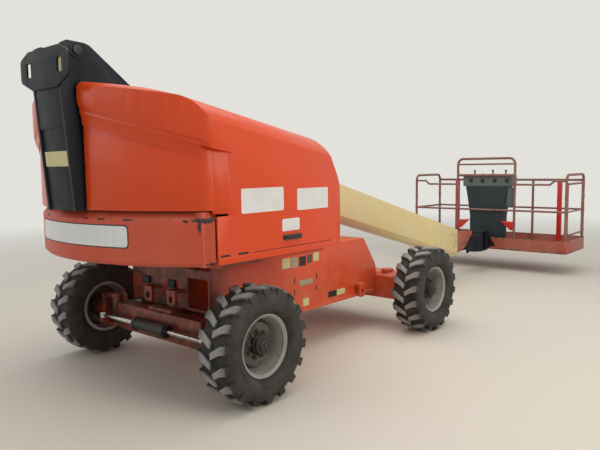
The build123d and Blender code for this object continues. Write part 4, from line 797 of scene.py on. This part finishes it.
def buildMastHead():
    outline = mastHead["half"] + [(-y, z) for y, z in reversed(mastHead["half"])]
    y0, y1 = mastHead["slotY"]
    low, high = mastHead["slotLow"], mastHead["slotHigh"]
    x = mastHead["x"]
    slot = ((y0, low), (y1, low), (y1, high), (y0, high))
    holes = [[(x, side * y, z) for y, z in slot] for side, _ in sides]
    outline = [(x, y, z) for y, z in outline]
    bm = flatPlate(outline, holes, mastHead["thickness"], mastHead["edge"], merge=True)
    makePiece(bm, "mast_head_plate", "turntable", mastPaint)
    back = x + mastHead["thickness"]
    low, high = low - mastHead["slotLap"], high + mastHead["slotLap"]
    bm = bmesh.new()
    for start, end in ((-y1 - 0.006, -y0 + 0.006), (y0 - 0.006, y0 + 0.026)):
        addBox(bm, (back - 0.001, start, low), (back + 0.004, end, high), 0.001, 1)
    makePiece(bm, "mast_slot_plates", "turntable", creamPlate)


# The brow runs round the hood's tail about an axis that leans forward with the roof, and outward
brow = {
    "x": wheelbaseMid - 0.396, "z": 1.8835, "forward": 0.18173, "outward": 0.21, "steps": 96,
    "startAngle": 12, "sweep": -70, "low": -0.0875, "lid": 0.0155, "lidInner": 1.42, "edge": 1.6484,
    "wall": 1.6205, "inner": 0.2175, "lidSide": 1.0797, "coveSide": 1.020, "end": wheelbaseMid - 1.456,
}


def buildBrows():
    axis = Vector((brow["forward"], brow["outward"], 1))
    lean = Vector((0, 0, 1)).rotation_difference(axis).to_matrix().to_4x4()
    low, wall, edge, inner = brow["low"], brow["wall"], brow["edge"], brow["lidInner"]
    lid = [(inner, low), (edge, low), (edge, low - brow["lid"]), (inner, low - brow["lid"])]
    cove = [(wall - 0.06, low), (edge, low), (edge - 0.002, low - 0.012), (edge - 0.012, low - 0.034),
            (edge - 0.021, low - 0.060), (wall + 0.001, low - 0.090), (wall - 0.06, low - 0.090)]
    start = Matrix.Rotation(radians(brow["startAngle"]), 3, "Z")
    for side, word in sides:
        for part, profile, outside in (("lid", lid, brow["lidSide"]), ("cove", cove, brow["coveSide"])):
            bm = bmesh.new()
            verts = [bm.verts.new((-r, 0, z)) for r, z in profile]
            bmesh.ops.rotate(bm, verts=verts, cent=(0, 0, 0), matrix=start)
            section = bm.faces.new(verts)
            bmesh.ops.spin(bm, geom=[section], cent=(0, 0, 0), axis=(0, 0, 1), angle=radians(brow["sweep"]),
                           steps=brow["steps"])
            bm.transform(Matrix.Translation((brow["x"], 0, brow["z"])) @ lean)
            clip(bm, (0, brow["inner"], 0), (0, -1, 0))
            clip(bm, (0, outside, 0), (0, 1, 0))
            clip(bm, (brow["end"], 0, 0), (1, 0, 0))
            if side < 0:
                bmesh.ops.scale(bm, verts=bm.verts, vec=(1, -1, 1))
            makePiece(bm, f"hood_brow_{part}_{word}", f"hood_{word}", hoodPaint)


hood = {
    "side": 1.0801, "edge": 0.0035, "smooth": 24,
    "creases": [(wheelbaseMid - 1.596, 1.042, 0.012), (wheelbaseMid - 1.450, 1.080, 0.012)],  # x, y, width
    "plates": [
        # name, x from mid-wheelbase, z, width, height: blank
        ("plate_rear", -1.190, 1.430, 0.415, 0.165), ("plate_front", -0.655, 1.416, 0.362, 0.158),
        ("plate_small", -0.907, 1.240, 0.188, 0.088),
    ],
    "lipFace": 1.0803, "lipLow": 1.0795, "slotShadeHalf": 0.0008,
    "lipSlotShades": [
        # from x, to x, height
        (-1.590, -1.505, 0.014), (-1.434, -1.341, 0.014), (-1.299, -0.437, 0.004),
    ],
}


def buildHoodPlates():
    for side, word in sides:
        for plate, x, z, width, height in hood["plates"]:
            place = (wheelbaseMid + x, hood["side"], z)
            sidePlate(f"hood_{plate}_{word}", f"hood_{word}", side, place, (width, height), platePaint)


# dark boxes in the hood lip's slots and groove: painted shade of the recesses
def buildLipSlotShades():
    low = hood["lipLow"]
    for side, word in sides:
        bm = bmesh.new()
        y, deep = side * hood["lipFace"], hood["slotShadeHalf"]
        for x0, x1, height in hood["lipSlotShades"]:
            start, end = (wheelbaseMid + x0, y - deep, low), (wheelbaseMid + x1, y + deep, low + height)
            addBox(bm, start, end, 0.0005, 1)
        makePiece(bm, f"hood_lip_slot_shade_{word}", f"hood_{word}", blackVinylAndShade)


mastTag = {
    "size": (0.300, 0.102), "corner": 0.006, "x": wheelbaseMid - 2.0885, "z": 1.726, "lean": radians(-4.36),
}
castBlock = {"top": 1.3721, "cornerDrop": 0.0055}
tailPlates = [
    # name, half its width, low, high, corner, thickness, finish: blank plate on its dark edging
    ("edging", 0.570, 1.133, 1.288, 0.030, 0.0010, blackVinylAndShade),
    ("blank_plate", 0.562, 1.141, 1.280, 0.026, 0.0018, platePaint),
]


def buildTurntable():
    softened("turntable_deck", 0.003, framePaint)
    cast = softened("counterweight", 0.008, castPaint, 3)
    for v in cast.data.vertices:  # two corners of the ends that the bevel pushes out of the top
        if v.co.z > castBlock["top"]:
            v.co.z = castBlock["top"] - castBlock["cornerDrop"]
    behindHead = ((mastHead["x"] + mastHead["thickness"] + 0.0001, 0, 0), (-1, 0, 0))
    for name in ("mast_plate_left", "mast_plate_right", "mast_rear_panel"):
        softened(name, 0.0022, mastPaint, trim=behindHead)
    for name in ("hood_left", "hood_right"):
        softened(name, hood["edge"], hoodPaint, smooth=hood["smooth"], creases=hood["creases"])
    buildMastHead()
    buildBrows()
    for name in ("hood_latch_left", "hood_latch_right"):
        softened(name, 0.005, coverPlastic, 3)
    buildHoodPlates()
    bm = roundedPanel(*mastTag["size"], mastTag["corner"])
    thicken(bm, plateThickness, (0, -1, 0))
    turn = Matrix.Rotation(mastTag["lean"], 4, "Y") @ Matrix.Rotation(-pi / 2, 4, "Z")
    bm.transform(Matrix.Translation((mastTag["x"], 0, mastTag["z"])) @ turn)
    makePiece(bm, "mast_blank_plate", "turntable", creamPlate)
    for name, half, low, high, corner, thickness, finish in tailPlates:
        bm = roundedPanel(half * 2, high - low, corner, 24)
        for v in bm.verts:  # bend it to the cast
            v.co = Vector(onTail(v.co.x, v.co.z + (low + high) / 2))
        for v in extrude(bm, bm.faces[:]):
            v.co += Vector((v.co.x - tailArc["centreX"], v.co.y, 0)).normalized() * thickness
        makePiece(bm, f"counterweight_{name}", "turntable", finish)
    buildLipSlotShades()


buildTurntable()
print("turntable built")


# Boom
boom = {
    "droop": radians(14.8), "side": 0.1502,
    "bandX": 1.045, "bandTop": 0.925, "bandLow": 0.640, "bandWidth": 0.014, "bandHalf": 0.001,
    "bolts": [(1.812, 0.664), (1.756, 0.524), (1.806, 0.590), (1.690, 0.700)],
}


def buildBoom():
    for name in ("base_boom", "fly_boom"):
        softened(name, 0.003, boomPaint)
    softened("fly_nose", 0.003, trayPaint)
    softened("boom_pivot_pin", 0.003, hubPaint)
    softened("lift_cylinder_barrel", 0.002, mastPaint)
    repaint(["lift_cylinder_rod"], chromeRod)
    softened("platform_support", 0.003, mastPaint)
    wide, tall = boom["bandWidth"] / 2, (boom["bandTop"] - boom["bandLow"]) / 2
    middle = Matrix.Translation((boom["bandX"], 0, (boom["bandTop"] + boom["bandLow"]) / 2))
    for side, word in sides:
        y = side * boom["side"]
        boltRow(f"boom_pad_bolts_{word}", "boom", [(x, y, z) for x, z in boom["bolts"]], (0, side, 0))
        bm = bmesh.new()
        addBox(bm, (-wide, y - boom["bandHalf"], -tall), (wide, y + boom["bandHalf"], tall), 0.0008)
        bm.transform(middle @ Matrix.Rotation(boom["droop"], 4, "Y"))
        makePiece(bm, f"boom_weld_band_{word}", "boom", boomPaint)


buildBoom()
print("boom built")


# Platform
lever = {
    "x": 3.285, "z": 1.487, "sunk": 0.002, "places": [-0.27, -0.06, 0.24],
    "boot": 0.034, "folds": 4, "foldHeight": 0.009, "narrowing": 0.19, "foldTaper": 0.82,
    "stalk": 0.006, "rise": 0.072, "grip": (0.013, 0.016), "gripBelow": 0.028, "gripAbove": 0.012,
}
switches = {
    "x": 3.382, "z": 1.487, "count": 8, "from": -0.30, "step": 0.085, "collar": 0.009, "collarHeight": 0.006,
    "toggle": (0.0028, 0.0038), "tip": (0.006, 0.022),  # radii at foot and tip; the tip from the foot
}
stopButton = {
    "x": 3.235, "y": 0.08, "z": 1.487, "neck": 0.014, "neckHeight": 0.015, "head": 0.022, "top": 0.028,
}
backCovers = {
    "places": [-0.33, -0.14, 0.06, 0.25], "x": (3.1665, 3.1760), "half": (0.030, 0.032), "z": 1.404,
    "knob": 0.014, "knobOut": 0.0065,
}


def buildConsole():
    softened("control_console", 0.004, consolePlastic)
    softened("console_housing", 0.012, coverPlastic, 3)
    x, z = lever["x"], lever["z"]
    foot = z - lever["sunk"]
    boots, grips = bmesh.new(), bmesh.new()
    for y in lever["places"]:
        for i in range(lever["folds"]):  # bellows of the rubber boot
            low, wide = foot + i * lever["foldHeight"], lever["boot"] * (1 - lever["narrowing"] * i)
            high = low + lever["foldHeight"] + 0.001
            addRod(boots, (x, y, low), (x, y, high), wide, 0.003, wide * lever["foldTaper"])
        top = z + lever["rise"]
        addRod(grips, (x, y, foot), (x, y, top), lever["stalk"])
        low, high = (x, y, top - lever["gripBelow"]), (x, y, top + lever["gripAbove"])
        addRod(grips, low, high, lever["grip"][0], 0.005, lever["grip"][1])
    makePiece(boots, "console_lever_boots", "platform", blackVinylAndShade)
    makePiece(grips, "console_levers", "platform", coverPlastic)
    bm = bmesh.new()
    x, z = switches["x"], switches["z"]
    (thin, thick), (along, up) = switches["toggle"], switches["tip"]
    for i in range(switches["count"]):
        y = switches["from"] + i * switches["step"]
        addRod(bm, (x, y, z - 0.001), (x, y, z + switches["collarHeight"]), switches["collar"])
        addRod(bm, (x, y, z), (x + along, y, z + up), thin, 0.001, thick)
    makePiece(bm, "console_switches", "platform", zincBolt, 30)
    bm = bmesh.new()
    x, y, z = stopButton["x"], stopButton["y"], stopButton["z"]
    shoulder = z + stopButton["neckHeight"]
    addRod(bm, (x, y, z), (x, y, shoulder), stopButton["neck"])
    addRod(bm, (x, y, shoulder - 0.001), (x, y, z + stopButton["top"]), stopButton["head"], 0.005)
    makePiece(bm, "console_stop_button", "platform", redPaint)
    bm = bmesh.new()
    (back, front), (half, tall), z = backCovers["x"], backCovers["half"], backCovers["z"]
    for y in backCovers["places"]:
        addBox(bm, (back, y - half, z - tall), (front, y + half, z + tall), 0.004)
        addRod(bm, (back - backCovers["knobOut"], y, z), (back + 0.0005, y, z), backCovers["knob"])
    makePiece(bm, "console_back_covers", "platform", coverPlastic)


guard = {
    "boomSideX": 3.1475, "outerX": 3.9875, "gussetThickness": 0.008, "gussetEdge": 0.0015,
    "gusset": [(-0.250, 0.784), (-0.452, 0.771), (-0.452, 0.640), (-0.405, 0.640)],  # y, z
    "collarY": 1.22, "collarHeights": (0.640, 0.955, 1.150), "collarRadius": 0.0228, "collarHalf": 0.016,
}
redPosts = {"x": 3.9875, "y": 0.87, "half": (0.0208, 0.0348), "low": 0.3702, "high": 1.3990, "edge": 0.004}
shield = {
    "size": (0.150, 0.300), "corner": 0.030, "thickness": 0.004, "bend": 0.12,
    "middle": (3.176, -0.385, 1.155),
}


def buildPlatform():
    softened("platform_mount", 0.003, mastPaint)
    softened("platform_floor", 0.002, trayPaint)
    buildConsole()
    rails = ["platform_rail_" + place for place in ("left", "right", "boom_side", "outer")]
    repaint(rails + ["platform_gate"], railPaint)
    wide, deep = redPosts["half"]
    for side, word in sides:
        thickness = guard["gussetThickness"]
        outline = [(guard["boomSideX"] - thickness / 2, -side * y, z) for y, z in guard["gusset"]]
        bm = flatPlate(outline, [], thickness, guard["gussetEdge"])
        makePiece(bm, f"guard_gusset_{word}", "platform", redPaint)
        x, y = redPosts["x"], side * redPosts["y"]
        bm = bmesh.new()
        foot, head = (x - wide, y - deep, redPosts["low"]), (x + wide, y + deep, redPosts["high"])
        addBox(bm, foot, head, redPosts["edge"], 3)
        makePiece(bm, f"red_post_{word}", "platform", redPaint)
        bm = bmesh.new()
        y, half = side * guard["collarY"], guard["collarHalf"]
        for x in (guard["boomSideX"], guard["outerX"]):
            for z in guard["collarHeights"]:
                addRod(bm, (x, y, z - half), (x, y, z + half), guard["collarRadius"], 0.003)
        makePiece(bm, f"rail_collars_{word}", "platform", railPaint)
    bm = roundedPanel(*shield["size"], shield["corner"], 8)
    thicken(bm, shield["thickness"], (0, 1, 0))
    for v in bm.verts:
        v.co.y += shield["bend"] * (v.co.x / shield["size"][0]) ** 2
    bm.transform(Matrix.Translation(shield["middle"]) @ Matrix.Rotation(-pi / 2, 4, "Z"))
    makePiece(bm, "console_side_shield", "platform", consolePlastic)
    repaint(["engine", "tank"], hubPaint)


buildPlatform()
print("platform built")
